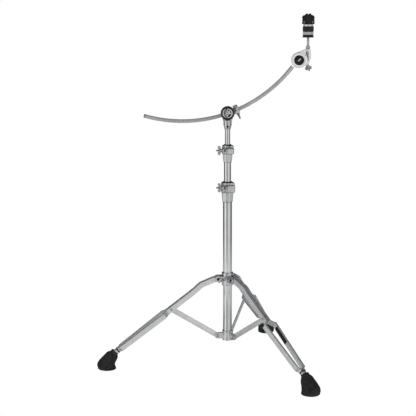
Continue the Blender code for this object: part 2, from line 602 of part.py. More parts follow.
def build_cymbal_seat(stand):
    """The rod with everything that is stacked on it, from the seat cup up to the quick-release nut."""
    rod = frame("cymbal_rod_frame", stand, (TILTER_X + ROD_OFFSET, ROD_Y, 0))
    bottom = TILTER_Z + 0.0135
    turned(piece("cymbal_rod", profile([
        (0, ROD_TOP_Z), (ROD_RADIUS - 0.0008, ROD_TOP_Z), (ROD_RADIUS, ROD_TOP_Z - 0.0008),
        (ROD_RADIUS, 1.0215), (0.0056, 1.0200), (0.0066, ROD_SEAT_Z + FIT), (ROD_RADIUS, ROD_SEAT_Z + FIT),
        (ROD_RADIUS, bottom), (0, bottom)], closed=False), "chrome", rod), 20)
    bore, sleeve = ROD_RADIUS + FIT, 0.0060
    turned(piece("cymbal_seat_cup", profile([
        (sleeve, WASHER_Z - 0.001), (sleeve, LOWER_FELT_Z - FIT), (0.0162, LOWER_FELT_Z - FIT),
        (0.0170, CUP_Z + 0.0040), (0.0175, CUP_Z), (0.0160, CUP_Z), (0.0120, CUP_Z + 0.0040),
        (0.0070, CUP_Z + 0.0052), (0.0070, CUP_Z + 0.0010), (bore, CUP_Z + 0.0010),
        (bore, WASHER_Z - 0.001)]),
        "plastic", rod))
    turned(piece("lower_felt", ring_profile(0.0167, sleeve + FIT, LOWER_FELT_Z, UPPER_FELT_Z - FIT, 0.0010),
                 "felt", rod))
    turned(piece("upper_felt", ring_profile(0.0174, sleeve + FIT, UPPER_FELT_Z, WASHER_Z - FIT, 0.0010),
                 "black_felt", rod))
    turned(piece("cymbal_washer", ring_profile(0.0155, bore, WASHER_Z, NUT_Z - FIT, 0.0006), "chrome", rod))
    nut = turned(piece("quick_nut", profile([
        (0, NUT_TOP), (0.0075, NUT_TOP), (0.0100, NUT_TOP - 0.0030), (0.0110, NUT_Z + 0.0030),
        (0.0138, NUT_Z + 0.0022), (0.0138, NUT_Z), (bore, NUT_Z), (bore, ROD_TOP_Z + 0.001),
        (0, ROD_TOP_Z + 0.001)], closed=False), "plastic", rod))
    hinge_x, hinge_z = 0.0140, 1.1030
    join(nut, shape(box_mesh((-hinge_x - 0.0020, -0.0020, hinge_z - 0.0030),
                             (hinge_x + 0.0020, 0.0020, hinge_z + 0.0030)), rod))
    cut(nut, shape(box_mesh((-0.0016, -0.02, NUT_TOP - 0.0030), (0.0016, 0.02, NUT_TOP + 0.01)), rod),
        shape(rod_mesh(bore, NUT_Z - 0.01, ROD_TOP_Z + 0.001), rod))
    lever_outline = [(-0.0020, -0.0118), (0.0040, -0.0118), (0.0056, -0.0100), (0.0052, 0.0060),
                     (0.0010, 0.0118), (-0.0020, 0.0130)]
    for side, label in ((-1, "left"), (1, "right")):
        hinge = frame(f"quick_nut_{label}_hinge", rod, (side * hinge_x, 0, hinge_z))
        outline = [(side * x, z) for x, z in lever_outline][::side]
        lever = piece(f"quick_nut_{label}_lever", upright_plate(outline, 0.0100), "plastic", hinge)
        cut(lever, shape(box_mesh((-0.0036, -0.0024, -0.0040), (0.0036, 0.0024, 0.0040)), hinge))


def footprint_middle(along, across):
    """Middle of the feet's reach along X, given cosine and sine, or along Y, given sine and cosine."""
    places = [FOOT_CENTRE * along(azimuth) for azimuth in LEG_AZIMUTHS]
    reaches = [math.hypot(FOOT_LENGTH * along(azimuth), FOOT_WIDTH * across(azimuth))
               for azimuth in LEG_AZIMUTHS]
    low = min(place - reach for place, reach in zip(places, reaches))
    high = max(place + reach for place, reach in zip(places, reaches))
    return (low + high) / 2


def build():
    middle = (footprint_middle(math.cos, math.sin), footprint_middle(math.sin, math.cos))
    stand = frame("stand", None, (-middle[0], -middle[1], 0))
    for number, azimuth in enumerate(LEG_AZIMUTHS, 1):
        build_leg(number, stand, azimuth)
    build_collars(stand)
    build_post(stand)
    build_boom(stand)
    build_tilter(stand)
    build_cymbal_seat(stand)


build()
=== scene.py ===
"""Looks of the cymbal boom stand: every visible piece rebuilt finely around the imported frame.

Places come from the frame: the joints give the hinges, bolts and axes, and the nodes' boxes give heights
and radii. Metres, +Z up.
"""

import json
import math

import bmesh
import bpy
from mathutils import Matrix, Vector, noise


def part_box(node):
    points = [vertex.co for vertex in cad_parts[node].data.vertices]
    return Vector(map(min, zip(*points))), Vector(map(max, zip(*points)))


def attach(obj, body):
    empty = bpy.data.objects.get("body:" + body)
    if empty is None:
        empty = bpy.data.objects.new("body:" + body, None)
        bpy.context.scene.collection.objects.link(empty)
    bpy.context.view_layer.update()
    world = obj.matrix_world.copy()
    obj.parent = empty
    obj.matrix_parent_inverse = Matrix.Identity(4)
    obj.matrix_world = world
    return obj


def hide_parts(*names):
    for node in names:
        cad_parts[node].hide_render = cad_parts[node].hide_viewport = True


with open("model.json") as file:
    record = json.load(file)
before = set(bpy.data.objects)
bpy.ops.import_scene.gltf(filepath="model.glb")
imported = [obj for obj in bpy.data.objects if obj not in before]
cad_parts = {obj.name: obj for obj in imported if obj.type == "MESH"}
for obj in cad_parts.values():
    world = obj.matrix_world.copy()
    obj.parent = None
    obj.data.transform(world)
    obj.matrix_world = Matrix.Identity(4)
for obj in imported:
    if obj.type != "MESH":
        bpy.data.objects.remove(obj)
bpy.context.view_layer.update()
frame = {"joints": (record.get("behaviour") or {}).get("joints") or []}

JOINTS = {joint["name"]: joint for joint in frame["joints"]}
SMOOTH_ANGLE = math.radians(32)
FINE, MEDIUM, SMALL = 96, 64, 40     # sides of large, middling and small turned pieces
TO_FRONT = Matrix.Rotation(math.pi / 2, 4, "X")      # turns a piece's own Z towards -Y


# ---------------------------------------------------------------- places in the frame
def middle_of(node):
    low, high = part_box(node)
    return (low + high) / 2


def bottom_of(node):
    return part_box(node)[0].z


def top_of(node):
    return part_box(node)[1].z


def radius_of(node):
    low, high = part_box(node)
    return (high.x - low.x) / 2


def aim(place, axis, reference):
    """A frame at a place whose Z lies along the axis and whose X leans towards the reference."""
    z = Vector(axis).normalized()
    x = Vector(reference)
    x = (x - z * x.dot(z)).normalized()
    turned_frame = Matrix((x, z.cross(x), z)).transposed().to_4x4()
    return Matrix.Translation(place) @ turned_frame


def shift(x, y, z):
    return Matrix.Translation((x, y, z))


def joint_place(name):
    return Vector(JOINTS[name]["pos_m"])


POST = Matrix.Translation((middle_of("base_tube").x, middle_of("base_tube").y, 0))
ROD = Matrix.Translation((middle_of("cymbal_rod").x, middle_of("cymbal_rod").y, 0))
TILTER = Matrix.Translation(joint_place("tilter_tilt"))
PIVOT = Matrix.Translation((middle_of("base_tube").x, middle_of("base_tube").y, joint_place("boom_tilt").z))
ARC = Matrix.Translation(joint_place("boom_slide"))


def leg_frame(number):
    """X points outwards along the leg, Z up, and the origin is the leg's hinge."""
    joint = JOINTS["legs_fold" if number == 1 else f"leg_{number}_fold"]
    across = Vector(joint["axis"])
    return aim(joint["pos_m"], (0, 0, 1), across.cross((0, 0, 1)))


# ---------------------------------------------------------------- mesh helpers
def rounded(outline, radius, steps=4, closed=True):
    """The outline with every corner replaced by a short curve."""
    points = [Vector(point) for point in outline]
    count = len(points)
    result = []
    for k, corner in enumerate(points):
        if not closed and k in (0, count - 1):
            result.append(corner)
            continue
        before, after = points[k - 1] - corner, points[(k + 1) % count] - corner
        reach = min(radius, before.length * 0.45, after.length * 0.45)
        start, end = corner + before.normalized() * reach, corner + after.normalized() * reach
        for step in range(steps + 1):
            t = step / steps
            result.append(start * (1 - t) ** 2 + corner * 2 * t * (1 - t) + end * t ** 2)
    return result


def finished_mesh(body, matrix=Matrix.Identity(4)):
    """The bmesh as a smooth mesh in the row frame, its faces pointing out."""
    bmesh.ops.recalc_face_normals(body, faces=body.faces)
    mesh = bpy.data.meshes.new("fine")
    body.to_mesh(mesh)
    body.free()
    mesh.transform(matrix)
    mesh.shade_smooth()
    mesh.set_sharp_from_angle(angle=SMOOTH_ANGLE)
    return mesh


def lathe(points, sides=MEDIUM, matrix=Matrix.Identity(4), soften=0.0004, shape=None, steps=3):
    """A profile of (radius, height) pairs spun about Z, left open where it starts and ends on the axis.

    shape(radius, height, angle) moves the surface.
    """
    closed = bool(points[0][0] or points[-1][0])
    outline = rounded(points, soften, steps, closed) if soften else [Vector(point) for point in points]
    body = bmesh.new()
    rows = []
    for point in outline:
        radius, height = point
        if radius < 1e-7:
            rows.append([body.verts.new((0, 0, height))])
            continue
        circle = []
        for k in range(sides):
            angle = 2 * math.pi * k / sides
            moved = shape(radius, height, angle) if shape else radius
            circle.append(body.verts.new((moved * math.cos(angle), moved * math.sin(angle), height)))
        rows.append(circle)
    pairs = list(zip(rows, rows[1:]))
    if closed:
        pairs.append((rows[-1], rows[0]))
    for low, high in pairs:
        if len(low) == 1 and len(high) == 1:
            continue
        for k in range(sides):
            after = (k + 1) % sides
            corners = [low[k % len(low)], low[after % len(low)], high[after % len(high)], high[k % len(high)]]
            body.faces.new(list(dict.fromkeys(corners)))
    return finished_mesh(body, matrix)


def pin(radius, low, high, sides, matrix, soften=0.0):
    """A plain round pin or drill along Z."""
    return lathe([(0, high), (radius, high), (radius, low), (0, low)], sides, matrix, soften)


def ring(outer, inner, low, high, sides, matrix, soften=0.0, **options):
    """A plain round ring or tube along Z."""
    return lathe([(outer, high), (outer, low), (inner, low), (inner, high)], sides, matrix, soften, **options)


def inset(outline, distance):
    """The closed outline moved inwards by the distance."""
    count = len(outline)
    area = sum(outline[k - 1].cross(outline[k]) for k in range(count))
    side = 1 if area > 0 else -1
    moved = []
    for k, point in enumerate(outline):
        before, after = point - outline[k - 1], outline[(k + 1) % count] - point
        along = (before.normalized() + after.normalized()).normalized()
        moved.append(point + Vector((-along.y, along.x)) * side * distance)
    return moved


def plate(outline, low, high, matrix=Matrix.Identity(4), edge=0.0006, corner=0.0):
    """A flat outline between two heights along Z, with rounded edges."""
    points = [Vector(point) for point in outline]
    if corner:
        points = rounded(points, corner, 4)
    body = bmesh.new()
    levels = []
    for k in range(4):
        turn = math.pi / 2 * k / 3
        levels.append((edge * (1 - math.sin(turn)), low + edge * (1 - math.cos(turn))))
    levels += [(offset, low + high - height) for offset, height in reversed(levels)]
    rows = [
        [body.verts.new((point.x, point.y, height)) for point in inset(points, offset)] for offset,
        height in levels]
    count = len(points)
    for bottom, top in zip(rows, rows[1:]):
        for k in range(count):
            after = (k + 1) % count
            body.faces.new((bottom[k], bottom[after], top[after], top[k]))
    body.faces.new(rows[0])
    body.faces.new(rows[-1])
    return finished_mesh(body, matrix)


def upright(outline, low, high, matrix, **options):
    """A plate whose outline is in (x, z) and whose thickness runs along Y, from low to high."""
    return plate(outline, -high, -low, matrix @ TO_FRONT, **options)


def block(low, high, matrix=Matrix.Identity(4), edge=0.0008):
    """A box between two corners with rounded edges."""
    outline = [(low[0], low[1]), (high[0], low[1]), (high[0], high[1]), (low[0], high[1])]
    return plate(outline, low[2], high[2], matrix, edge, corner=edge * 1.6)


def arc(centre, radius, start, end, count):
    return [
        (
            centre[0] + radius * math.cos(start + (end - start) * k / (count - 1)),
            centre[1] + radius * math.sin(start + (end - start) * k / (count - 1))) for k in range(count)]


def hexagon(radius):
    return arc((0, 0), radius, 0, 2 * math.pi * 5 / 6, 6)


def link(start, start_radius, end, end_radius, count=18):
    """The outline around two circles, such as a strap with two round ends."""
    along = Vector(end) - Vector(start)
    heading = math.atan2(along.y, along.x)
    lean = math.acos((start_radius - end_radius) / along.length)
    return (
        arc(end, end_radius, heading - lean, heading + lean, count)
        + arc(start, start_radius, heading + lean, heading + 2 * math.pi - lean, count))


def skin(rings, matrix=Matrix.Identity(4)):
    """A closed solid through rings with the same number of points, closed at both ends."""
    body = bmesh.new()
    rows = [[body.verts.new(point) for point in circle] for circle in rings]
    count = len(rows[0])
    for low, high in zip(rows, rows[1:]):
        for k in range(count):
            after = (k + 1) % count
            body.faces.new((low[k], low[after], high[after], high[k]))
    body.faces.new(rows[0])
    body.faces.new(rows[-1])
    return finished_mesh(body, matrix)


def solid(mesh):
    made = bpy.data.objects.new("solid", mesh)
    bpy.context.scene.collection.objects.link(made)
    return made


def join(mesh):
    return "UNION", mesh


def cut(mesh):
    return "DIFFERENCE", mesh


def combined(mesh, *steps):
    """The mesh with solids joined to it or cut from it, each step given by join(mesh) or cut(mesh)."""
    target = solid(mesh)
    tools = []
    for operation, tool_mesh in steps:
        tools.append(solid(tool_mesh))
        modifier = target.modifiers.new(operation, "BOOLEAN")
        modifier.operation = operation
        modifier.object = tools[-1]
    bpy.context.view_layer.update()
    graph = bpy.context.evaluated_depsgraph_get()
    result = bpy.data.meshes.new_from_object(target.evaluated_get(graph))
    for used in [target, *tools]:
        bpy.data.objects.remove(used)
    result.shade_smooth()
    result.set_sharp_from_angle(angle=SMOOTH_ANGLE)
    return result


def show(name, mesh, material, body, *nodes, slot=None):
    """Adds a piece that rides on a body and stands for CAD nodes. The slot argument is not used."""
    made = bpy.data.objects.new(name, mesh)
    bpy.context.scene.collection.objects.link(made)
    mesh.materials.clear()
    mesh.materials.append(material)
    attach(made, body)
    if nodes:
        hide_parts(*nodes)
    return made


# ---------------------------------------------------------------- materials
class Nodes:
    """A material with a Principled shader and short calls to add nodes to it."""

    def __init__(self, name, metallic=0.0, roughness=0.5, **sockets):
        self.material = bpy.data.materials.new(name)
        self.material.use_nodes = True
        self.tree = self.material.node_tree
        self.shader = self.tree.nodes["Principled BSDF"]
        self.shader.inputs["Metallic"].default_value = metallic
        self.shader.inputs["Roughness"].default_value = roughness
        for socket, value in sockets.items():
            self.shader.inputs[socket.replace("_", " ")].default_value = value
        self.place = self.tree.nodes.new("ShaderNodeTexCoord").outputs["Object"]

    def noise(self, scale, detail=4.0, stretch=(1, 1, 1), distortion=0.0):
        mapping = self.tree.nodes.new("ShaderNodeMapping")
        mapping.inputs["Scale"].default_value = stretch
        texture = self.tree.nodes.new("ShaderNodeTexNoise")
        texture.inputs["Scale"].default_value = scale
        texture.inputs["Detail"].default_value = detail
        texture.inputs["Distortion"].default_value = distortion
        self.tree.links.new(self.place, mapping.inputs["Vector"])
        self.tree.links.new(mapping.outputs["Vector"], texture.inputs["Vector"])
        return texture.outputs["Fac"]

    def ramp(self, source, *stops):
        """Turns a value into a colour: stops are (position, colour or grey)."""
        ramp = self.tree.nodes.new("ShaderNodeValToRGB")
        elements = ramp.color_ramp.elements
        while len(elements) < len(stops):
            elements.new(0.5)
        for element, (position, value) in zip(elements, stops):
            element.position = position
            colour = value if hasattr(value, "__len__") else (value, value, value)
            element.color = (*colour, 1)
        self.tree.links.new(source, ramp.inputs["Fac"])
        return ramp.outputs["Color"]

    def colour(self, source):
        self.tree.links.new(source, self.shader.inputs["Base Color"])
        return self

    def rough(self, source):
        self.tree.links.new(source, self.shader.inputs["Roughness"])
        return self

    def bump(self, source, distance, strength=1.0):
        bump = self.tree.nodes.new("ShaderNodeBump")
        bump.inputs["Distance"].default_value = distance
        bump.inputs["Strength"].default_value = strength
        self.tree.links.new(source, bump.inputs["Height"])
        self.tree.links.new(bump.outputs["Normal"], self.shader.inputs["Normal"])
        return self


def plated(name, tone, rough_low, rough_high, ripple=0.00001, metallic=1.0):
    """Polished plating: a slight haze and fine wiping marks, brighter where it is cleanest."""
    made = Nodes(name, metallic=metallic)
    haze = made.noise(38, 6, distortion=0.4)
    wiping = made.noise(420, 3, stretch=(1, 1, 0.08))
    dark, light = tone
    made.colour(made.ramp(haze, (0.30, dark), (0.70, light)))
    made.rough(made.ramp(wiping, (0.35, rough_low), (0.72, rough_high)))
    made.bump(made.noise(130, 2), ripple)
    return made.material


CHROME = plated("chrome_plate", ((0.76, 0.77, 0.78), (0.86, 0.87, 0.88)), 0.045, 0.11)
LEG_CHROME = plated("leg_chrome_plate", ((0.70, 0.71, 0.72), (0.80, 0.81, 0.82)), 0.28, 0.38, 0.00003, 0.85)
CAST_CHROME = plated("cast_chrome_plate", ((0.62, 0.63, 0.64), (0.80, 0.81, 0.82)), 0.10, 0.22, 0.00004)
BRIGHT_CAST = plated(
    "bright_cast_chrome_plate", ((0.84, 0.85, 0.86), (0.92, 0.93, 0.94)), 0.12, 0.20, 0.00003, 0.75)
ZINC = plated("zinc_fastener", ((0.46, 0.47, 0.48), (0.60, 0.61, 0.62)), 0.16, 0.30, 0.00003)
DARK_STEEL = plated("dark_steel", ((0.050, 0.050, 0.053), (0.120, 0.120, 0.124)), 0.22, 0.36, 0.00003)
SATIN = plated("satin_knurled_steel", ((0.36, 0.36, 0.37), (0.46, 0.46, 0.47)), 0.42, 0.55, 0.00003, 0.50)


def moulded(name, dark, light, rough_low, rough_high, grain, depth, **sockets):
    """Moulded black plastic or rubber with its surface grain."""
    made = Nodes(name, **sockets)
    made.colour(made.ramp(made.noise(60, 5), (0.32, dark), (0.70, light)))
    made.rough(made.ramp(made.noise(220, 3), (0.30, rough_low), (0.72, rough_high)))
    made.bump(made.noise(grain, 3), depth)
    return made.material


RUBBER = moulded(
    "foot_rubber", (0.010, 0.010, 0.011), (0.026, 0.026, 0.027), 0.55, 0.82, 900, 0.00012,
    Specular_IOR_Level=0.20)
PLASTIC = moulded(
    "black_plastic", (0.005, 0.005, 0.006), (0.013, 0.013, 0.014), 0.32, 0.48, 1500, 0.00004,
    Specular_IOR_Level=0.25)
NYLON = moulded(
    "black_nylon", (0.010, 0.010, 0.011), (0.022, 0.022, 0.023), 0.45, 0.62, 1100, 0.00005,
    Specular_IOR_Level=0.25)


def felted(name, dark, light):
    """Pressed wool: mottled fibres with a soft sheen."""
    made = Nodes(name, roughness=0.95, Sheen_Weight=0.08, Sheen_Roughness=0.6, Specular_IOR_Level=0.1)
    fibres = made.noise(1500, 8, stretch=(1, 1, 2.6), distortion=1.5)
    made.colour(made.ramp(made.noise(700, 8, distortion=2.0), (0.34, dark), (0.66, light)))
    made.bump(fibres, 0.0005, 0.9)
    return made.material


GREY_FELT = felted("grey_felt", (0.20, 0.20, 0.205), (0.40, 0.40, 0.41))
BLACK_FELT = felted("black_felt", (0.006, 0.006, 0.007), (0.024, 0.024, 0.025))


# ---------------------------------------------------------------- fasteners
def rivet(matrix, half, shank=0.0024, head=0.0040, dome=0.0016):
    """A domed rivet along the frame's Y, centred on its origin."""
    side = [(0, half + dome)]
    side += [(head * math.sin(turn), half + dome * math.cos(turn)) for turn in (0.4, 0.8, 1.15, 1.45)]
    side += [(head, half + 0.0003), (shank, half + 0.0003)]
    points = side + [(radius, -height) for radius, height in reversed(side)]
    return lathe(points, SMALL, matrix @ TO_FRONT, soften=0)


def wing_bolt(matrix, shank, neck=0.012, wing=0.0095, radius=0.0028):
    """A bolt with two rounded wings that point along the frame's X; its Z points out of the clamp."""
    hub = lathe(
        [
            (0, neck + 0.0190), (0.0016, neck + 0.0187), (0.0026, neck + 0.0165), (0.0034, neck + 0.0070),
            (0.0052, neck + 0.0020), (0.0052, 0.0018), (0.0046, 0.0003), (radius, 0.0003),
            (radius, 0.0002 - shank), (radius - 0.0006, -shank), (0, -shank)], SMALL, matrix, 0.0010)
    steps = []
    for side in (-1, 1):
        ear = link((side * 0.0012, neck + 0.0036), 0.0036, (side * wing, neck + 0.0085), 0.0052)
        dimple = lathe(
            [(0, 0.0030), (0.0034, 0.0030), (0.0028, 0.0012), (0, 0.0009)], SMALL,
            matrix @ shift(side * wing, 0, neck + 0.0085) @ TO_FRONT, 0)
        steps.append(join(upright(ear, -0.0017, 0.0017, matrix, edge=0.0008)))
        steps.append(cut(dimple))
    return combined(hub, *steps)


# ---------------------------------------------------------------- tripod
RAIL_WIDTH, RAIL_HEIGHT, RAIL_END_HEIGHT, RAIL_WALL = 0.0070, 0.0165, 0.0140, 0.0015
RAIL_CLOSE, RAIL_SPREAD, RAIL_TOE, RAIL_IN_FOOT = 0.0060, 0.0200, 0.0125, 0.00365   # half the distance apart
SHOULDER, FOOT_BEND = 0.1771, 0.3076      # out from the hinge: the rails' widest place and where they close
BRACE_WIDTH, BRACE_THICKNESS = 0.0165, 0.0030
KINK, TOE = Vector((0.0494, -0.0168)), Vector((0.3266, -0.2260))     # out and up from the leg's hinge


def smooth_line(points, count):
    """Points along a Catmull-Rom line through the given points, count for each stretch."""
    points = [Vector(point) for point in points]
    line = []
    for k in range(len(points) - 1):
        before, start = points[max(k - 1, 0)], points[k]
        end, after = points[k + 1], points[min(k + 2, len(points) - 1)]
        for step in range(count):
            t = step / count
            line.append(
                0.5 * (
                    2 * start + (end - before) * t + (2 * before - 5 * start + 4 * end - after) * t ** 2
                    + (3 * start - before - 3 * end + after) * t ** 3))
    return line + [points[-1]]


SPACERS = (0.0300, 0.0640, 0.1050)   # distances out of the rivets that hold the two rails apart
GROOVES = (0.0070, 0.0130, 0.0190, 0.0250)   # heights of the boots' grooves
SHADE_BAND_OUT = 0.3228                    # a black band above the boot: painted shade where the rails end and enter the foot
STRIP_LEG, STRIP_REACH = 2, (0.1840, 0.2340)


def rail_line(pivot):
    """Stations of a rail in the leg's frame: distance out, height and distance from the leg's plane."""
    def on_leg(out):
        return pivot.z + (TOE.y - pivot.z) / (TOE.x - pivot.x) * (out - pivot.x)
    bend = [
        (-0.0062, 0.0028), (KINK.x - 0.030, KINK.y + 0.0118), (KINK.x - 0.010, KINK.y + 0.0036),
        (KINK.x, KINK.y), (KINK.x + 0.009, KINK.y - 0.0062), (KINK.x + 0.030, on_leg(KINK.x + 0.030)),
        (pivot.x, pivot.z), (SHOULDER - 0.016, on_leg(SHOULDER - 0.016))]
    spread = [
        (SHOULDER - 0.013, RAIL_CLOSE + 0.001), (SHOULDER - 0.003, RAIL_SPREAD - 0.001),
        (SHOULDER, RAIL_SPREAD), (0.2400, spread_at(0.2400)), (FOOT_BEND, RAIL_TOE),
        (FOOT_BEND + 0.004, RAIL_TOE - 0.001), (FOOT_BEND + 0.014, RAIL_IN_FOOT),
        (FOOT_BEND + 0.034, RAIL_IN_FOOT)]
    return (
        [(out, height, RAIL_CLOSE) for out, height in bend]
        + [(out, on_leg(out), apart) for out, apart in spread])


def spread_at(out):
    """Half the distance between the rails, between the shoulder and the bend at the foot."""
    return RAIL_SPREAD + (RAIL_TOE - RAIL_SPREAD) * (out - SHOULDER) / (FOOT_BEND - SHOULDER)


def channel_section():
    """A channel that is open downwards, as (across, up) points around its wall."""
    half, up = RAIL_WIDTH / 2, RAIL_HEIGHT / 2
    outer = rounded([(-half, -up), (-half, up), (half, up), (half, -up)], 0.0010, 4, closed=False)
    inner = rounded(
        [
            (half - RAIL_WALL, -up), (half - RAIL_WALL, up - RAIL_WALL), (RAIL_WALL - half, up - RAIL_WALL),
            (RAIL_WALL - half, -up)], 0.0008, 3, closed=False)
    return outer + inner


def rail(leg, side, pivot):
    section = channel_section()
    line = smooth_line(rail_line(pivot), 4)
    rings = []
    for k, place in enumerate(line):
        heading = line[min(k + 1, len(line) - 1)] - line[max(k - 1, 0)]
        heading = Vector((heading.x, heading.y)).normalized()
        pinch = min(max((place.x - FOOT_BEND - 0.004) / 0.010, 0), 1)
        squeeze = 1 + (RAIL_END_HEIGHT / RAIL_HEIGHT - 1) * pinch
        rings.append(
            [
                (
                    place.x - heading.y * up * squeeze, side * place.z + across,
                    place.y + heading.x * up * squeeze) for across, up in section])
    return skin(rings, leg)


def rail_strip(leg, pivot, start, end):
    """A thin plain strip on the inner face of the left rail, between two distances out."""
    slope = (TOE.y - pivot.z) / (TOE.x - pivot.x)
    up = Vector((-slope, 1)).normalized() * (RAIL_HEIGHT / 2 - 0.0008)
    corner_rings = []
    for out in (start, end):
        face = spread_at(out) - RAIL_WIDTH / 2
        height = pivot.z + slope * (out - pivot.x)
        corner_rings.append(
            [
                (out + turn * up.x, y, height + turn * up.y) for y,
                turn in ((face - 0.0005, -1), (face - 0.0005, 1), (face + 0.0002, 1), (face + 0.0002, -1))])
    return skin(corner_rings, leg)


def foot(leg):
    """The rubber boot: a grooved round sole under a shoulder that narrows to a slanted, lipped collar."""
    base = Vector((0.3571, -0.2830))
    sections = [                     # centre out and up, half length, half width, slant in degrees
        (0.0000, 0.0000, 0.0264, 0.0256, 0.0), (0.0008, 0.0008, 0.0282, 0.0272, 0.0),
        (0.0017, 0.0035, 0.0293, 0.0280, 0.0), (0.0035, 0.0130, 0.0298, 0.0283, 3.0),
        (0.0012, 0.0215, 0.0286, 0.0272, 5.0), (-0.0040, 0.0300, 0.0260, 0.0246, 8.0),
        (-0.0105, 0.0385, 0.0226, 0.0213, 14.0), (-0.0157, 0.0465, 0.0190, 0.0179, 22.0),
        (-0.0215, 0.0520, 0.0146, 0.0150, 31.0), (-0.0255, 0.0562, 0.0122, 0.0130, 39.0)]
    lines = [smooth_line([(section[k], section[k + 1], 0) for section in sections], 7) for k in (0, 2)]
    slants = smooth_line([(section[4], 0, 0) for section in sections], 7)
    rings = []
    for middle, size, slant in zip(*lines, slants):
        lean = math.radians(slant.x)
        height = middle.y
        groove = sum(math.exp(-((height - level) / 0.0008) ** 2) for level in GROOVES)
        waist = 0.0016 * math.exp(-((height - 0.0520) / 0.0022) ** 2)
        shrink = 0.0013 * min(groove, 1) + waist
        sag = 0.0018 * min(1, groove) if 0.003 < height < 0.040 else 0
        circle = []
        for k in range(72):
            turn = 2 * math.pi * k / 72
            long, wide = size.x - shrink, size.y - shrink
            flat = 1 - 0.10 * max(0, -math.cos(turn)) ** 3 * max(0, 1 - abs(height - 0.020) / 0.02)
            x = middle.x + base.x + long * flat * math.cos(turn) * math.cos(lean)
            z = middle.y + base.y + long * math.cos(turn) * math.sin(lean) + sag * math.cos(turn)
            circle.append((x, wide * math.sin(turn), z))
        rings.append(circle)
    return skin(rings, leg)


def washer(matrix, radius, low, high):
    """A thin flat ring across the frame's Y."""
    return ring(radius, 0.0030, low, high, SMALL, matrix @ TO_FRONT, 0.0001)


def build_leg(number):
    leg = leg_frame(number)
    body = f"leg_{number}"
    pivot = leg.inverted() @ joint_place(f"brace_{number}_swing")
    at_pivot = leg @ Matrix.Translation(pivot)
    outer = RAIL_CLOSE + RAIL_WIDTH / 2
    for side, label in ((-1, "right"), (1, "left")):
        show(
            f"leg_{number}_{label}_channel", rail(leg, side, pivot), LEG_CHROME, body,
            f"leg_{number}_{label}_rail")
        gap = sorted((-side * (outer + 0.0001), -side * (outer + 0.0007)))
        show(f"leg_{number}_{label}_hinge_washer", washer(leg, 0.0094, *gap), NYLON, body)
        gap = sorted((-side * (BRACE_THICKNESS / 2 + 0.0001), -side * (RAIL_CLOSE - RAIL_WIDTH / 2 - 0.0001)))
        show(f"leg_{number}_{label}_pivot_washer", washer(at_pivot, 0.0088, *gap), NYLON, body)
    show(
        f"leg_{number}_hinge_rivet", rivet(leg, 0.0136, head=0.0046), DARK_STEEL, body,
        f"leg_{number}_hinge_pin")
    show(f"leg_{number}_pivot_rivet", rivet(at_pivot, outer), ZINC, body, f"leg_{number}_brace_rivet")
    line = smooth_line(rail_line(pivot), 4)
    for k, out in enumerate(SPACERS, 1):
        near = min(line, key=lambda place: abs(place.x - out))
        spacer = leg @ shift(near.x, 0, near.y)
        show(f"leg_{number}_spacer_{k}", rivet(spacer, outer, 0.0026, 0.0036, 0.0006), LEG_CHROME, body)

    slope = math.atan2(pivot.z - TOE.y, TOE.x - pivot.x)
    along = Matrix.Rotation(slope, 4, "Y")
    pocket = block(
        (-0.060, -RAIL_WIDTH - 0.0008, -RAIL_END_HEIGHT / 2 - 0.0004),
        (0, RAIL_WIDTH + 0.0008, RAIL_END_HEIGHT / 2 + 0.0004),
        leg @ shift(TOE.x + 0.0155, 0, TOE.y - math.tan(slope) * 0.0155) @ along, 0.0006)
    boot = combined(foot(leg), cut(pocket))
    show(f"foot_{number}_boot", boot, RUBBER, body, f"foot_{number}")
    # A black plastic band just above the boot: painted shade where the rails end and enter the foot.
    shade_band_frame = leg @ shift(SHADE_BAND_OUT, 0, TOE.y + math.tan(slope) * (TOE.x - SHADE_BAND_OUT)) @ along
    wide, tall = RAIL_WIDTH + 0.0003, RAIL_END_HEIGHT / 2
    band = combined(
        block(
            (-0.0020, -wide - 0.0010, -tall - 0.0009), (0.0020, wide + 0.0010, tall + 0.0009), shade_band_frame, 0.0005),
        cut(block((-0.01, -wide, -tall), (0.01, wide, tall), shade_band_frame, 0.0004)))
    show(f"foot_{number}_painted_shade_band", band, PLASTIC, body)
    if number == STRIP_LEG:
        show(f"leg_{number}_plain_strip", rail_strip(leg, pivot, *STRIP_REACH), PLASTIC, body)

    strap = link((0, 0), BRACE_WIDTH / 2, (-pivot.x, pivot.z), BRACE_WIDTH / 2)
    show(
        f"brace_{number}_strap",
        upright(strap, -BRACE_THICKNESS / 2, BRACE_THICKNESS / 2, at_pivot, edge=0.0007), LEG_CHROME,
        f"brace_{number}", f"brace_{number}")


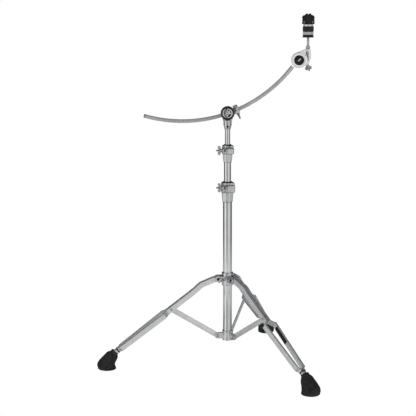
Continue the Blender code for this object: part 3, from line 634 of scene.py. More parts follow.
def build_collars():
    """The sliding leg collar and the brace collar at the bottom of the base tube."""
    tube_radius = radius_of("base_tube")
    bore = tube_radius + 0.0003
    low, high = bottom_of("leg_collar"), top_of("leg_collar")
    hinge_z = joint_place("legs_fold").z
    brace_z = joint_place("tube_follows_brace").z
    barrel = ring(0.0185, bore, low, high, FINE, POST, 0.0014, steps=5)
    base = ring(0.0166, bore, bottom_of("brace_collar"), top_of("brace_collar"), FINE, POST, 0.0012, steps=5)
    leg_ears, brace_ears = [], []
    for number in (1, 2, 3):
        leg = leg_frame(number)
        radius = (leg.translation.xy - POST.translation.xy).length
        outline = link((0.0168 - radius, 0), 0.0100, (0, 0), 0.0100)
        short = link((0.0190 - radius, 0), 0.0095, (0, 0), 0.0095)
        down = leg @ shift(0, 0, brace_z - hinge_z)
        for side in (-1, 1):
            leg_ears.append(
                join(
                    upright(
                        [(max(x, 0.0150 - radius), z) for x, z in outline], side * 0.0118 - 0.0015,
                        side * 0.0118 + 0.0015, leg)))
            brace_ears.append(
                join(
                    upright(
                        [(max(x, 0.0153 - radius), z) for x, z in short], side * 0.0030 - 0.0011,
                        side * 0.0030 + 0.0011, down)))
        show(
            f"brace_collar_pin_{number}", rivet(down, 0.0042, head=0.0048), ZINC, "base_tube",
            f"brace_collar_rivet_{number}")
    bolt = JOINTS["leg_collar_bolt_turn"]
    axis = Vector(bolt["axis"])
    side = Vector((0, 0, 1)).cross(axis)
    out = aim(bolt["pos_m"], axis, (0, 0, 1))
    boss = pin(0.0070, -0.0090, 0, SMALL, out, 0.0009)
    hole = pin(0.0031, -0.0150, 0.005, SMALL, out)
    show(
        "leg_collar_casting", combined(barrel, *leg_ears, join(boss), cut(hole)), CAST_CHROME, "leg_collar",
        "leg_collar")
    show("brace_collar_casting", combined(base, *brace_ears), CAST_CHROME, "base_tube", "brace_collar")
    wings = side * 0.788 + Vector((0, 0, 0.616))
    show(
        "leg_collar_thumb_bolt", wing_bolt(aim(bolt["pos_m"], axis, wings), 0.0095), CAST_CHROME,
        "leg_collar_wing", "leg_collar_wing_bolt")


# ---------------------------------------------------------------- post
TUBE_WALL = 0.0012


def build_tubes():
    for node, body in (
            ("base_tube", "base_tube"), ("middle_tube", "middle_tube"), ("upper_tube", "upper_tube")):
        radius = radius_of(node)
        low, high = bottom_of(node), top_of(node)
        show(
            f"{node}_drawn", ring(radius, radius - TUBE_WALL, low, high, FINE, POST, 0.0005), CHROME, body,
            node)
    low, high = bottom_of("base_tube_plug"), top_of("base_tube_plug")
    rim = bottom_of("base_tube")
    radius = radius_of("base_tube")
    show(
        "base_tube_end_plug",
        lathe(
            [
                (0, high), (radius - TUBE_WALL - 0.0003, high), (radius - TUBE_WALL - 0.0003, rim - 0.0003),
                (radius, rim - 0.0003), (radius - 0.0006, low), (radius - 0.0040, low),
                (radius - 0.0050, low + 0.0008), (0, low + 0.0008)], MEDIUM, POST, 0.0005), NYLON,
        "base_tube", "base_tube_plug")


def fluted(flutes, depth, low, high):
    """Flutes around a ferrule, between two heights."""
    def moved(radius, height, angle):
        if not low < height < high:
            return radius
        return radius - depth * max(0, math.cos(flutes * angle)) ** 3
    return moved


def build_clamp(level, tube, inner, ferrule, lower_body, swivel_body, wing_body):
    """A tube clamp with its fluted ferrule, and the stop lock that rests on it."""
    clamp = f"{level}_clamp"
    ferrule_z, top = bottom_of(clamp), top_of(clamp)
    clamp_z = ferrule_z + ferrule[2]
    bore = radius_of(tube) + 0.0003
    band = ferrule[0] + 0.0012
    bolt = JOINTS[f"{level}_bolt_turn"]
    face, front = (bolt["pos_m"][k] - POST.translation[k] for k in (0, 1))
    steps = 10
    neck = [
        (
            ferrule[0] + (ferrule[1] - ferrule[0]) * k / steps,
            clamp_z - 0.0010 + (ferrule_z + 0.0030 - clamp_z) * k / steps) for k in range(steps + 1)]
    shell = lathe(
        [
            (band, top), (band, clamp_z + 0.0015), *neck, (ferrule[1] - 0.0006, ferrule_z),
            (bore, ferrule_z), (bore, top)], FINE, POST, 0.0007,
        shape=fluted(8, 0.0012, ferrule_z + 0.0036, clamp_z - 0.0014))
    near, right, bend = front - 0.0070, band + 0.0030, 0.0060
    lug = plate(
        [
            (face, -bore - 0.0004), *arc((face + 0.0024, near + 0.0024), 0.0024, -math.pi, -math.pi / 2, 5),
            *arc((right - bend, near + bend), bend, -math.pi / 2, 0, 9), (right, -bore - 0.0004)],
        clamp_z + 0.0008, top - 0.0006, POST, edge=0.0016)
    slot = block((-0.0035, -0.05, ferrule_z - 0.01), (-0.0010, -0.001, top + 0.01), POST, 0.0001)
    across = aim(bolt["pos_m"], (1, 0, 0), (0, 0, 1))
    hole = pin(0.0031, -0.02, 0.06, SMALL, across)
    cleared = pin(bore, ferrule_z - 0.01, top + 0.01, FINE, POST)
    band_lines = lathe(
        [
            (band + 0.0004, top - 0.0040), (band - 0.0005, top - 0.0044), (band - 0.0005, top - 0.0052),
            (band + 0.0004, top - 0.0056), (band + 0.0090, top - 0.0056), (band + 0.0090, top - 0.0040)],
        FINE, POST, 0)
    body = combined(shell, cut(band_lines), join(lug), cut(slot), cut(hole), cut(cleared))
    show(f"{level}_clamp_casting", body, CAST_CHROME, lower_body, clamp)
    thumb = wing_bolt(aim(bolt["pos_m"], bolt["axis"], (0, 0, 1)), 0.0300, 0.0040)
    show(f"{level}_clamp_thumb_bolt", thumb, CAST_CHROME, wing_body, f"{level}_clamp_wing_bolt")

    sleeve = radius_of(inner) + 0.0003
    outer = radius_of(tube)
    inside = outer - TUBE_WALL - 0.0003
    show(
        f"{level}_clamp_sleeve",
        lathe(
            [
                (outer - 0.0004, top - 0.0006), (outer - 0.0004, top - 0.0032), (inside, top - 0.0032),
                (inside, ferrule_z - 0.01), (sleeve, ferrule_z - 0.01), (sleeve, top - 0.0006)], MEDIUM,
            POST, 0.0003), NYLON, lower_body, f"{level}_clamp_bushing")

    lock_z, lock_top = bottom_of(f"{level}_stop_lock"), top_of(f"{level}_stop_lock")
    insert = radius_of(inner) + 0.0032
    rim = ring(band - 0.0006, insert + 0.0003, lock_z, lock_top, FINE, POST, 0.0011, steps=4)
    ear = block(
        (0.0010, -0.0180, lock_z + 0.0004), (band + 0.0010, -insert - 0.0004, lock_top - 0.0004), POST,
        0.0010)
    split = block((0.0060, -0.05, lock_z - 0.01), (0.0080, -0.001, lock_top + 0.01), POST, 0.0001)
    clear = pin(insert + 0.0003, lock_z - 0.01, lock_top + 0.01, FINE, POST)
    show(
        f"{level}_stop_lock_casting", combined(rim, join(ear), cut(split), cut(clear)), CAST_CHROME,
        swivel_body, f"{level}_stop_lock")
    socket = aim(POST @ Vector((band + 0.0010, -0.0161, (lock_z + lock_top) / 2)), (1, 0, 0), (0, 0, 1))
    screw = combined(
        pin(0.0017, -0.0010, 0.0010, SMALL, socket, 0.0003),
        join(block((-0.0009, -0.0009, -0.0005), (0.0009, 0.0009, 0.0022), socket, 0.0002)))
    show(f"{level}_stop_lock_key_screw", screw, DARK_STEEL, swivel_body)
    show(
        f"{level}_stop_lock_ring",
        ring(insert, sleeve, lock_z + 0.001, lock_top + 0.0028, MEDIUM, POST, 0.0005), NYLON, swivel_body,
        f"{level}_stop_lock_insert")


# ---------------------------------------------------------------- boom
BOOM_ROD = 0.0060
BOOM_RADIUS = ARC.translation.z - bottom_of("boom_arm") - BOOM_ROD
BOOM_TAIL, BOOM_HEAD = math.radians(-15.5), math.radians(52.48)      # the arm's ends, around its arc
KNURL_END = math.radians(48.6)       # the arm is smooth from here to the tilter
RATCHET_RADIUS = 0.0219


def on_boom(angle, across=0.0, turn=0.0):
    """A place on the arm, at a distance from its centre line and a turn around it."""
    radius = BOOM_RADIUS - across * math.cos(turn)
    return Vector((radius * math.sin(angle), across * math.sin(turn), -radius * math.cos(angle)))


def boom_bar(start, end, radius, stations, sides, knurl=0.0):
    """A round bar along the arc, with a diamond knurl of the given depth cut into it."""
    rings = []
    for k in range(stations):
        angle = start + (end - start) * k / (stations - 1)
        circle = []
        for step in range(sides):
            turn = 2 * math.pi * step / sides
            size = radius
            if knurl and 2 < k < stations - 3:
                size -= knurl * ((step + k) % 2)
            circle.append(on_boom(angle, size, turn))
        rings.append(circle)
    return skin(rings, ARC)


def boom_frame(angle):
    """X along the arm, Z towards the arc's centre."""
    return ARC @ Matrix.Translation(on_boom(angle)) @ Matrix.Rotation(-angle, 4, "Y")


def gear(radius, depth, teeth, roundness=2.0, points=10):
    """Outline of a rosette: a circle with round hollows between its teeth."""
    outline = []
    for k in range(teeth * points):
        turn = 2 * math.pi * k / (teeth * points)
        reach = radius - depth * abs(math.sin(teeth * turn / 2)) ** roundness
        outline.append((reach * math.cos(turn), reach * math.sin(turn)))
    return outline


def build_yoke():
    upper = radius_of("upper_tube")
    low, neck_top = bottom_of("boom_yoke"), bottom_of("boom_yoke") + 0.0290
    bore = upper + 0.0003
    barrel = lathe(
        [
            (0.0120, neck_top), (0.0128, neck_top - 0.0020), (0.0128, low + 0.0130), (0.0100, low + 0.0012),
            (0.0093, low), (0.0060, low), (0.0060, neck_top)], FINE, POST, 0.0009)
    height = PIVOT.translation.z
    head = link((0, low + 0.0220 - height), 0.0126, (0, 0), 0.0200, 28)
    screw_z = middle_of("boom_yoke_screw").z
    lower = shift(0, 0, screw_z - height)
    body = combined(
        barrel, join(upright(head, -0.0050, 0.0050, PIVOT, edge=0.0012)),
        cut(pin(bore, low - 0.01, top_of("upper_tube") + 0.001, FINE, POST)),
        cut(pin(0.0043, -0.02, 0.02, SMALL, PIVOT @ TO_FRONT)),
        cut(pin(0.0023, 0.0, 0.03, SMALL, PIVOT @ lower @ TO_FRONT)))
    show("boom_yoke_casting", body, CAST_CHROME, "upper_tube", "boom_yoke")
    screw = combined(
        lathe(
            [
                (0, 0.0150), (0.0028, 0.0150), (0.0034, 0.0142), (0.0034, 0.0131), (0.0020, 0.0131),
                (0.0020, bore), (0, bore)], SMALL, PIVOT @ lower @ TO_FRONT, 0.0003),
        cut(upright(gear(0.0019, 0.0003, 6), -0.0160, -0.0139, PIVOT @ lower, edge=0.0001)))
    show("boom_yoke_set_screw", screw, PLASTIC, "upper_tube", "boom_yoke_screw")


def build_ratchet():
    """The front disc: a ridged dark rim around a domed light ring and a cog, held by the pivot bolt."""
    rim, face = RATCHET_RADIUS, 0.0160
    front = PIVOT @ TO_FRONT

    def ridged(radius, height, angle):
        if radius < rim - 0.0009 or not 0.0062 < height < 0.0140:
            return radius
        return radius - 0.0008 * max(0, math.cos(24 * angle)) ** 2
    cup = lathe(
        [
            (rim - 0.0030, face), (rim - 0.0008, 0.0148), (rim, 0.0138), (rim, 0.0120), (rim, 0.0095),
            (rim, 0.0070), (rim, 0.0053), (0.0043, 0.0053), (0.0043, 0.0108), (0.0174, 0.0108),
            (0.0176, 0.0148), (rim - 0.0038, face)], 192, front, 0.0005, shape=ridged)
    show("boom_ratchet_rim", cup, DARK_STEEL, "upper_tube", "boom_ratchet_cap")
    dome = lathe(
        [(0.0122, 0.0158), (0.0150, 0.0150), (0.0172, 0.0132), (0.0172, 0.0110), (0.0122, 0.0110)], FINE,
        front, 0.0005)
    show("boom_ratchet_dome", dome, CHROME, "upper_tube")
    cog = combined(
        upright(gear(0.0116, 0.0034, 7, 1.4, 14), -0.0146, -0.0112, PIVOT, edge=0.0005),
        cut(pin(0.0043, 0.0, 0.02, SMALL, front)))
    show("boom_ratchet_cog", cog, CAST_CHROME, "upper_tube")
    head = combined(
        lathe(
            [
                (0, 0.0190), (0.0036, 0.0190), (0.0048, 0.0182), (0.0050, 0.0172), (0.0050, 0.0147),
                (0.0040, 0.0147), (0.0040, -0.0102), (0, -0.0102)], MEDIUM, front, 0.0006),
        cut(upright(hexagon(0.0022), -0.0210, -0.0168, PIVOT, edge=0.0002)))
    show("boom_pivot_hex_bolt", head, CAST_CHROME, "upper_tube", "boom_pivot_bolt")
    aside = shift(0.0053, 0, -0.0063)
    lock = combined(
        lathe(
            [(0, 0.0168), (0.0026, 0.0168), (0.0031, 0.0162), (0.0031, 0.0110), (0, 0.0110)], SMALL,
            PIVOT @ aside @ TO_FRONT, 0.0004),
        cut(upright(hexagon(0.0015), -0.0190, -0.0150, PIVOT @ aside, edge=0.0002)))
    show("boom_ratchet_set_screw", lock, PLASTIC, "upper_tube")


def build_boom_clamp():
    """The rear ratchet disc with the split clamp that the arm slides through."""
    rim = RATCHET_RADIUS - 0.0020
    bolt = JOINTS["boom_bolt_turn"]
    axis = Vector(bolt["axis"])
    angle = -math.atan2(-axis.x, -axis.z)
    local = boom_frame(angle)
    bolt_y = (local.inverted() @ Vector(bolt["pos_m"])).y
    at_bolt = local @ shift(0, bolt_y, 0)
    back = PIVOT @ TO_FRONT
    disc = lathe(
        [
            (0.0043, -0.0053), (rim, -0.0053), (rim, -0.0110), (0.0170, -0.0138), (0, -0.0138),
            (0, -0.0128), (0.0043, -0.0128)], 120, back, 0.0005)
    along = local @ Matrix.Rotation(math.pi / 2, 4, "Y")
    sleeve = lathe(
        [
            (0, 0.0080), (0.0090, 0.0080), (0.0102, 0.0068), (0.0102, 0.0040), (0.0097, 0.0034),
            (0.0097, -0.0310), (0.0102, -0.0318), (0.0102, -0.0418), (0.0090, -0.0430), (0, -0.0430)],
        MEDIUM, along, 0.0005)
    jaw = block((-0.0080, bolt_y - 0.0052, -0.0100), (0.0080, 0.0040, 0.0112), local, 0.0012)
    bore = boom_bar(angle - 0.144, angle + 0.09, BOOM_ROD + 0.0004, 24, 48)
    split = block((-0.0300, bolt_y - 0.02, -0.0012), (0.0200, 0, 0.0012), local, 0.0001)
    hole = pin(0.0031, -0.03, 0.03, SMALL, at_bolt)
    body = combined(disc, join(sleeve), join(jaw), cut(bore), cut(split), cut(hole))
    show("boom_clamp_casting", body, CAST_CHROME, "boom_clamp", "boom_clamp")
    nut = combined(
        plate(hexagon(0.0072), 0.0115, 0.0168, at_bolt, 0.0005),
        cut(pin(0.0029, 0.0, 0.03, SMALL, at_bolt)))
    show("boom_clamp_hex_nut", nut, ZINC, "boom_clamp", "boom_clamp_nut")
    show(
        "boom_clamp_thumb_bolt", wing_bolt(aim(bolt["pos_m"], axis, (0, 1, 0)), 0.0270, 0.0005, 0.0075),
        CAST_CHROME, "boom_wing", "boom_clamp_wing_bolt")


def build_boom_arm():
    knurled = boom_bar(BOOM_TAIL, KNURL_END, BOOM_ROD, 420, 48, 0.00028)
    show("boom_arm_knurled_bar", knurled, SATIN, "boom_arm", "boom_arm", slot="satin_steel")
    show(
        "boom_arm_smooth_end", boom_bar(KNURL_END, BOOM_HEAD, BOOM_ROD - 0.0001, 24, 64), CHROME,
        "boom_arm", slot="satin_steel")
    tail = ARC @ Matrix.Translation(on_boom(BOOM_TAIL)) @ Matrix.Rotation(-BOOM_TAIL - math.pi / 2, 4, "Y")
    cap = lathe(
        [(0, 0.0060), (0.0040, 0.0056), (0.0062, 0.0034), (0.0062, 0.0003), (0, 0.0003)], MEDIUM, tail,
        0.0008)
    show("boom_arm_tail_cap", cap, ZINC, "boom_arm", "boom_arm_end_cap", slot="satin_steel")


# ---------------------------------------------------------------- tilter
HOUSING_RADIUS, TILTER_RADIUS = 0.0180, 0.0245


def build_tilter():
    front = TILTER @ TO_FRONT
    rod = TILTER.inverted() @ ROD.translation
    seat = combined(
        lathe(
            [
                (0, -0.0130), (HOUSING_RADIUS - 0.0008, -0.0130), (HOUSING_RADIUS, -0.0138),
                (HOUSING_RADIUS, -0.0270), (HOUSING_RADIUS - 0.0030, -0.0300), (0, -0.0300)], FINE, front,
            0.0008),
        cut(lathe([(0, -0.0280), (0.0060, -0.0280), (0.0066, -0.0400), (0, -0.0400)], SMALL, front, 0)))
    show("tilter_ratchet_housing", seat, CAST_CHROME, "boom_arm", "tilter_housing")

    disc = lathe(
        [
            (0, -0.0044), (0.0151, -0.0044), (0.0153, -0.0020), (TILTER_RADIUS - 0.0018, -0.0020),
            (TILTER_RADIUS - 0.0002, -0.0032), (TILTER_RADIUS, -0.0045), (TILTER_RADIUS, -0.0112),
            (TILTER_RADIUS - 0.0012, -0.0125), (0, -0.0125)], 120, front, 0.0006)
    web = [
        (-0.0088, 0.0225), (0.0160, 0.0325), (0.0220, 0.0350), (0.0350, 0.0350), (0.0373, 0.0170),
        (0.0356, 0.0030), (0.0310, -0.0110), (0.0262, -0.0148), (0.0120, -0.0208), (0.0, 0.0)]
    housing = [
        (0.0194, -0.0140), (0.0262, -0.0150), (0.0310, -0.0112), (0.0357, 0.0030), (0.0374, 0.0170),
        (0.0352, 0.0355), (0.0215, 0.0355), (0.0194, 0.0300)]
    panel = [
        (0.0204, 0.0268), (0.0302, 0.0278), (0.0310, 0.0120), (0.0292, -0.0040), (0.0264, -0.0050),
        (0.0262, 0.0030), (0.0240, 0.0118), (0.0206, 0.0182)]
    bolt = JOINTS["tilter_bolt_turn"]
    out = aim(bolt["pos_m"], bolt["axis"], (0, 1, 0))
    halfway = Matrix.Rotation(math.radians(-45), 4, "Z")
    bracket = combined(
        disc, join(upright(web, 0.0042, 0.0118, TILTER, edge=0.0010, corner=0.0030)),
        join(upright(housing, rod.y - 0.0138, rod.y + 0.0138, TILTER, edge=0.0028, corner=0.0040)),
        join(pin(0.0058, -0.0060, 0.0020, SMALL, out, 0.0006)),
        cut(upright(panel, rod.y - 0.0200, rod.y - 0.0124, TILTER, edge=0.0003, corner=0.0016)),
        cut(upright(panel, rod.y + 0.0124, rod.y + 0.0200, TILTER, edge=0.0003, corner=0.0016)),
        cut(pin(0.0043, 0.0130, 0.0500, MEDIUM, TILTER @ shift(rod.x, rod.y, 0))),
        cut(pin(0.0031, -0.0130, 0.0100, SMALL, out)), cut(pin(0.0150, -0.0020, 0.02, FINE, front)))
    show("tilter_bracket_casting", bracket, BRIGHT_CAST, "tilter", "tilter_bracket")
    show(
        "tilter_side_inlay",
        upright(inset(rounded(panel, 0.0016), 0.0006), rod.y - 0.0132, rod.y - 0.0125, TILTER, edge=0.0002),
        ZINC, "tilter")
    boss = wing_bolt(out @ shift(0, 0, 0.0020) @ halfway, 0.0120, 0.0010, 0.0080)
    show("tilter_thumb_bolt", boss, ZINC, "tilter_wing", "tilter_wing_bolt")

    badge = combined(
        lathe(
            [
                (0, 0.0010), (0.0100, 0.0010), (0.0130, 0.0006), (0.0148, -0.0006), (0.0148, -0.0018),
                (0, -0.0018)], FINE, front, 0.0008),
        cut(lathe([(0.0108, 0.0030), (0.0114, 0.0030), (0.0114, 0.0005), (0.0108, 0.0005)], FINE, front, 0)))
    show("tilter_round_badge", badge, PLASTIC, "tilter", "tilter_badge")
    lozenge = [(-0.0062, -0.0010), (0.0024, 0.0072), (0.0062, 0.0034), (-0.0010, -0.0046)]
    show(
        "tilter_badge_inlay", upright(lozenge, -0.0014, -0.0006, TILTER, edge=0.0002, corner=0.0008), ZINC,
        "tilter")


def threaded(low, high, radius, pitch, depth):
    """A turned shape's thread, as rings; it only looks like one from outside."""
    count = int((high - low) / pitch)
    points = []
    for k in range(count):
        base = high - k * pitch
        points += [(radius, base), (radius, base - pitch * 0.25), (radius - depth, base - pitch * 0.55)]
    return points + [(radius, low)]


# ---------------------------------------------------------------- cymbal seat
ROD_RADIUS, ROD_COLLAR_HEIGHT = 0.0040, 0.0358      # the collar's height is from the tilter's axis


def build_cymbal_seat():
    """Everything stacked on the rod, from the seat cup up to the quick-release nut."""
    cup_z, lower_z, upper_z = bottom_of("cymbal_seat_cup"), bottom_of("lower_felt"), bottom_of("upper_felt")
    washer_z, nut_z, nut_top = bottom_of("cymbal_washer"), bottom_of("quick_nut"), top_of("quick_nut")
    radius, top, bottom = ROD_RADIUS, top_of("cymbal_rod"), bottom_of("cymbal_rod")
    seat = TILTER.translation.z + ROD_COLLAR_HEIGHT
    shaft = lathe(
        [
            (0, top), (radius - 0.0008, top), *threaded(washer_z, top - 0.0008, radius, 0.00125, 0.0004),
            (radius, seat + 0.0090), (0.0054, seat + 0.0076), (0.0064, seat + 0.0062), (0.0066, seat),
            (radius, seat), (radius, bottom), (0, bottom)], MEDIUM, ROD, 0.00015)
    show("cymbal_rod_threaded", shaft, SATIN, "tilter", "cymbal_rod")
    bore, sleeve = radius + 0.0003, 0.0060
    cup = lathe(
        [
            (sleeve, washer_z - 0.001), (sleeve, lower_z - 0.0003), (0.0158, lower_z - 0.0003),
            (0.0166, lower_z - 0.0012), (0.0170, cup_z + 0.0040), (0.0175, cup_z + 0.0008), (0.0168, cup_z),
            (0.0156, cup_z + 0.0004), (0.0118, cup_z + 0.0040), (0.0070, cup_z + 0.0052),
            (0.0070, cup_z + 0.0010), (bore, cup_z + 0.0010), (bore, washer_z - 0.001)], FINE, ROD, 0.0006)
    show("cymbal_seat_flared_cup", cup, PLASTIC, "tilter", "cymbal_seat_cup")

    def fuzzy(size, layer):
        def moved(r, height, angle):
            if r < sleeve + 0.002:
                return r
            groove = 0.0006 * math.exp(-((height - layer) / 0.0005) ** 2)
            place = Vector((math.cos(angle) * 9, math.sin(angle) * 9, height * 900))
            return r + size * noise.noise(place) - groove
        return moved
    for node, slot, reach, low, high, layer, fibre, body in (
            (
                "lower_felt", "grey_felt", 0.0166, lower_z, upper_z - 0.0003, lower_z + 0.0046, GREY_FELT,
                "tilter"),
            (
                "upper_felt", "black_felt", 0.0173, upper_z, washer_z - 0.0003, upper_z + 0.0085, BLACK_FELT,
                "upper_stack")):
        rows = 14
        outer = [(reach, high - 0.0012 - (high - low - 0.0024) * k / rows) for k in range(rows + 1)]
        mesh = lathe(
            [
                (reach - 0.0013, high), *outer, (reach - 0.0013, low), (sleeve + 0.0003, low),
                (sleeve + 0.0003, high)], 144, ROD, 0.0004, shape=fuzzy(0.00028, layer))
        pad = show(f"{node}_pad", mesh, fibre, body, node, slot=slot)
    washer = ring(0.0155, bore, washer_z, nut_z - 0.0003, FINE, ROD, 0.0005, steps=5)
    show("cymbal_washer_turned", washer, LEG_CHROME, "upper_stack", "cymbal_washer")
    build_quick_nut(nut_z, nut_top, bore)


def build_quick_nut(low, top, bore):
    """The squeeze nut: a body with a notched crown and two grooved levers at its sides."""
    hinge = joint_place("nut_right_squeeze") - ROD.translation
    rod_top = top_of("cymbal_rod")
    hub = lathe(
        [
            (0, top), (0.0072, top), (0.0096, top - 0.0026), (0.0103, top - 0.0060), (0.0116, hinge.z),
            (0.0118, low), (bore, low), (bore, rod_top + 0.001), (0, rod_top + 0.001)], FINE, ROD, 0.0009)
    lugs = block(
        (-hinge.x - 0.0020, -0.0020, hinge.z - 0.0030), (hinge.x + 0.0020, 0.0020, hinge.z + 0.0030), ROD,
        0.0006)
    cheek = [
        (-0.0166, low + 0.0004), (0.0166, low + 0.0004), (0.0170, low + 0.0150), (0.0166, top - 0.0105),
        (0.0086, top - 0.0026), (-0.0086, top - 0.0026), (-0.0166, top - 0.0105), (-0.0170, low + 0.0150)]
    cheeks = [
        join(upright(cheek, *sides, ROD, edge=0.0006, corner=0.0020))
        for sides in ((-0.0078, -0.0056), (0.0056, 0.0078))]
    notch = block((-0.0016, -0.02, top - 0.0030), (0.0016, 0.02, top + 0.01), ROD, 0.0003)
    hole = pin(bore, low - 0.01, rod_top + 0.001, MEDIUM, ROD)
    nut = combined(hub, join(lugs), *cheeks, cut(notch), cut(hole))
    show("quick_nut_body", nut, PLASTIC, "nut", "quick_nut")
    foot_z = low + 0.0006 - hinge.z
    outline = [
        (-0.0019, foot_z), (0.0040, foot_z), (0.0055, foot_z + 0.0020), (0.0053, 0.0060), (0.0024, 0.0108),
        (-0.0019, 0.0127)]
    for side, label in ((-1, "left"), (1, "right")):
        place = ROD @ shift(side * hinge.x, 0, hinge.z)
        mirrored = [(side * x, z) for x, z in outline]
        window = block((-0.0036, -0.0024, -0.0040), (0.0036, 0.0024, 0.0040), place, 0.0003)
        steps = [cut(window)]
        for k in range(4):
            ridge = block(
                (side * 0.0050 - 0.0008, -0.01, -0.0088 + 0.0032 * k),
                (side * 0.0050 + 0.0016, 0.01, -0.0074 + 0.0032 * k), place, 0.0002)
            steps.append(cut(ridge))
        lever = combined(upright(mirrored, -0.0050, 0.0050, place, edge=0.0010, corner=0.0014), *steps)
        show(
            f"quick_nut_{label}_squeeze_lever", lever, PLASTIC, f"nut_{label}_lever",
            f"quick_nut_{label}_lever")
        for face, where in ((-1, "front"), (1, "rear")):
            head = lathe(
                [(0, 0.0009), (0.0010, 0.0007), (0.0019, 0.0001), (0, 0.0001)], SMALL,
                ROD @ shift(side * 0.0133, face * 0.0078, low + 0.0072)
                @ Matrix.Rotation(face * -math.pi / 2, 4, "X"), 0)
            show(f"quick_nut_{label}_{where}_pin_head", head, ZINC, "nut")


# ---------------------------------------------------------------- studio
# Brightness of the cards around the stand, by degrees to the right of the side it is seen from.
UPPER_CARDS = (
    (-165, 0.03), (-122, 0.05), (-104, 0.18), (-84, 0.38), (-70, 0.95), (-50, 1.00), (-42, 0.62),
    (-34, 0.46), (-14, 0.44), (-11, 0.05), (-3, 0.05), (0, 0.58), (30, 0.68), (58, 0.74), (72, 0.32),
    (100, 0.22), (150, 0.10), (165, 0.03))
LOWER_CARDS = (
    (-165, 0.10), (-150, 0.34), (-118, 0.44), (-106, 0.66), (-90, 0.64), (-70, 0.62), (-48, 0.88),
    (-30, 0.70), (-10, 0.62), (6, 0.66), (31, 0.70), (60, 0.66), (94, 0.50), (120, 0.44), (144, 0.45),
    (160, 0.10))


def studio_world():
    """Plain white to the camera; to everything else a room of light and dark cards around the stand."""
    world = bpy.data.worlds.new("studio")
    bpy.context.scene.world = world
    world.use_nodes = True
    tree = world.node_tree
    tree.nodes.clear()

    def add(kind, *sources, **settings):
        node = tree.nodes.new(kind)
        for key, value in settings.items():
            setattr(node, key, value)
        for socket, source in zip(node.inputs, sources):
            if source is None:
                continue
            if isinstance(source, bpy.types.NodeSocket):
                tree.links.new(source, socket)
            else:
                socket.default_value = source
        return node
    direction = add("ShaderNodeTexCoord").outputs["Generated"]
    parts = add("ShaderNodeSeparateXYZ", direction).outputs
    towards = add("ShaderNodeMath", parts["Y"], -1.0, operation="MULTIPLY").outputs[0]
    around = add("ShaderNodeMath", parts["X"], towards, operation="ARCTAN2").outputs[0]
    share = add("ShaderNodeMath", around, 0.5 / math.pi, 0.5, operation="MULTIPLY_ADD").outputs[0]
    cards = []
    for stops in (LOWER_CARDS, UPPER_CARDS):
        bands = add("ShaderNodeValToRGB", share)
        elements = bands.color_ramp.elements
        while len(elements) < len(stops):
            elements.new(0.5)
        for element, (degrees, grey) in zip(elements, stops):
            element.position = degrees / 360 + 0.5
            element.color = (grey, grey, grey, 1)
        cards.append(bands.outputs["Color"])
    above = add("ShaderNodeMapRange", parts["Z"], -0.25, -0.16, 0.0, 1.0).outputs[0]
    below = add("ShaderNodeMapRange", parts["Z"], -0.31, -0.36, 0.0, 1.0).outputs[0]
    strong = add("ShaderNodeMath", above, below, operation="MAXIMUM").outputs[0]
    around = add("ShaderNodeMixRGB", strong, *cards).outputs[0]
    low = add("ShaderNodeMapRange", parts["Z"], -0.85, -0.40, 0.0, 1.0).outputs[0]
    high = add("ShaderNodeMapRange", parts["Z"], 0.35, 0.70, 0.0, 1.0).outputs[0]
    sides = add("ShaderNodeMixRGB", low, (0.22, 0.22, 0.22, 1), around).outputs[0]
    room = add("ShaderNodeMixRGB", high, sides, (0.12, 0.12, 0.12, 1)).outputs[0]
    reflected = add("ShaderNodeBackground", room, 1.0).outputs[0]
    seen = add("ShaderNodeBackground", (1, 1, 1, 1), 1.0).outputs[0]
    camera_ray = add("ShaderNodeLightPath").outputs["Is Camera Ray"]
    mixed = add("ShaderNodeMixShader", camera_ray, reflected, seen).outputs[0]
    add("ShaderNodeOutputWorld", mixed)


def soft_light(name, place, size, power):
    light = bpy.data.lights.new(name, "AREA")
    light.shape = "DISK"
    light.size = size
    light.energy = power
    made = bpy.data.objects.new(name, light)
    bpy.context.scene.collection.objects.link(made)
    made.location = place
    made.rotation_euler = (Vector((0, 0, 0.55)) - Vector(place)).to_track_quat("-Z", "Y").to_euler()
    made.visible_glossy = False


FLOOR_REACH, FLOOR_HEIGHT = 14.0, -0.0006


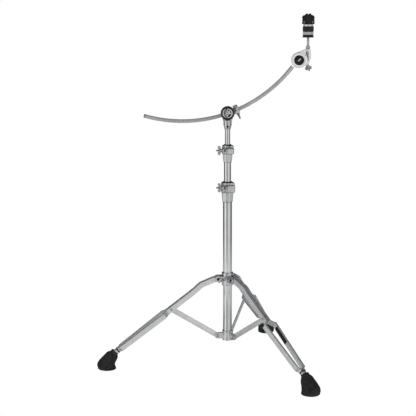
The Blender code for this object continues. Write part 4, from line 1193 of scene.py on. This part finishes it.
def build_studio():
    studio_world()
    soft_light("key_light", (-1.6, -2.2, 2.6), 1.2, 40)
    soft_light("fill_light", (2.2, -1.6, 1.6), 1.4, 15)
    soft_light("top_light", (0.2, 0.6, 3.2), 1.6, 16)
    mesh = bpy.data.meshes.new("floor")
    corners = ((-1, -1), (1, -1), (1, 1), (-1, 1))
    mesh.from_pydata(
        [(x * FLOOR_REACH, y * FLOOR_REACH, FLOOR_HEIGHT) for x, y in corners], [], [(0, 1, 2, 3)])
    floor = bpy.data.objects.new("floor", mesh)
    bpy.context.scene.collection.objects.link(floor)
    paint = Nodes("pale_floor", roughness=0.9, Emission_Color=(1, 1, 1, 1), Emission_Strength=0.95)
    paint.colour(paint.ramp(paint.noise(3, 2), (0.3, 0.90), (0.7, 0.92)))
    mesh.materials.append(paint.material)
    floor.visible_glossy = False
    floor.visible_camera = False     # folded legs reach below it


CAMERA_FROM_POST = Vector((-0.0620, -3.5226, 1.1329))
CAMERA_DOWN, CAMERA_ROLL = math.radians(10), math.radians(-0.15)
FOCAL_LENGTH, SENSOR_WIDTH = 97.4, 36.0      # millimetres


def build_camera():
    lens = bpy.data.cameras.new("camera")
    lens.sensor_width, lens.lens = SENSOR_WIDTH, FOCAL_LENGTH
    lens.clip_start, lens.clip_end = 0.05, 60.0
    camera = bpy.data.objects.new("camera", lens)
    bpy.context.scene.collection.objects.link(camera)
    camera.location = POST.translation + CAMERA_FROM_POST
    tilt, roll = Matrix.Rotation(math.pi / 2 - CAMERA_DOWN, 4, "X"), Matrix.Rotation(CAMERA_ROLL, 4, "Z")
    camera.rotation_euler = (tilt @ roll).to_euler()
    bpy.context.scene.camera = camera
    bpy.context.scene.view_settings.view_transform = "Standard"


# ---------------------------------------------------------------- assembly
build_camera()
build_studio()
for leg_number in (1, 2, 3):
    build_leg(leg_number)
build_collars()
build_tubes()
build_clamp(
    "lower", "base_tube", "middle_tube", (0.0194, 0.0163, 0.0335), "base_tube", "lower_lock", "lower_wing")
build_clamp(
    "upper", "middle_tube", "upper_tube", (0.0160, 0.0132, 0.0280), "middle_tube", "upper_lock",
    "upper_wing")
build_yoke()
build_ratchet()
build_boom_clamp()
build_boom_arm()
build_tilter()
build_cymbal_seat()
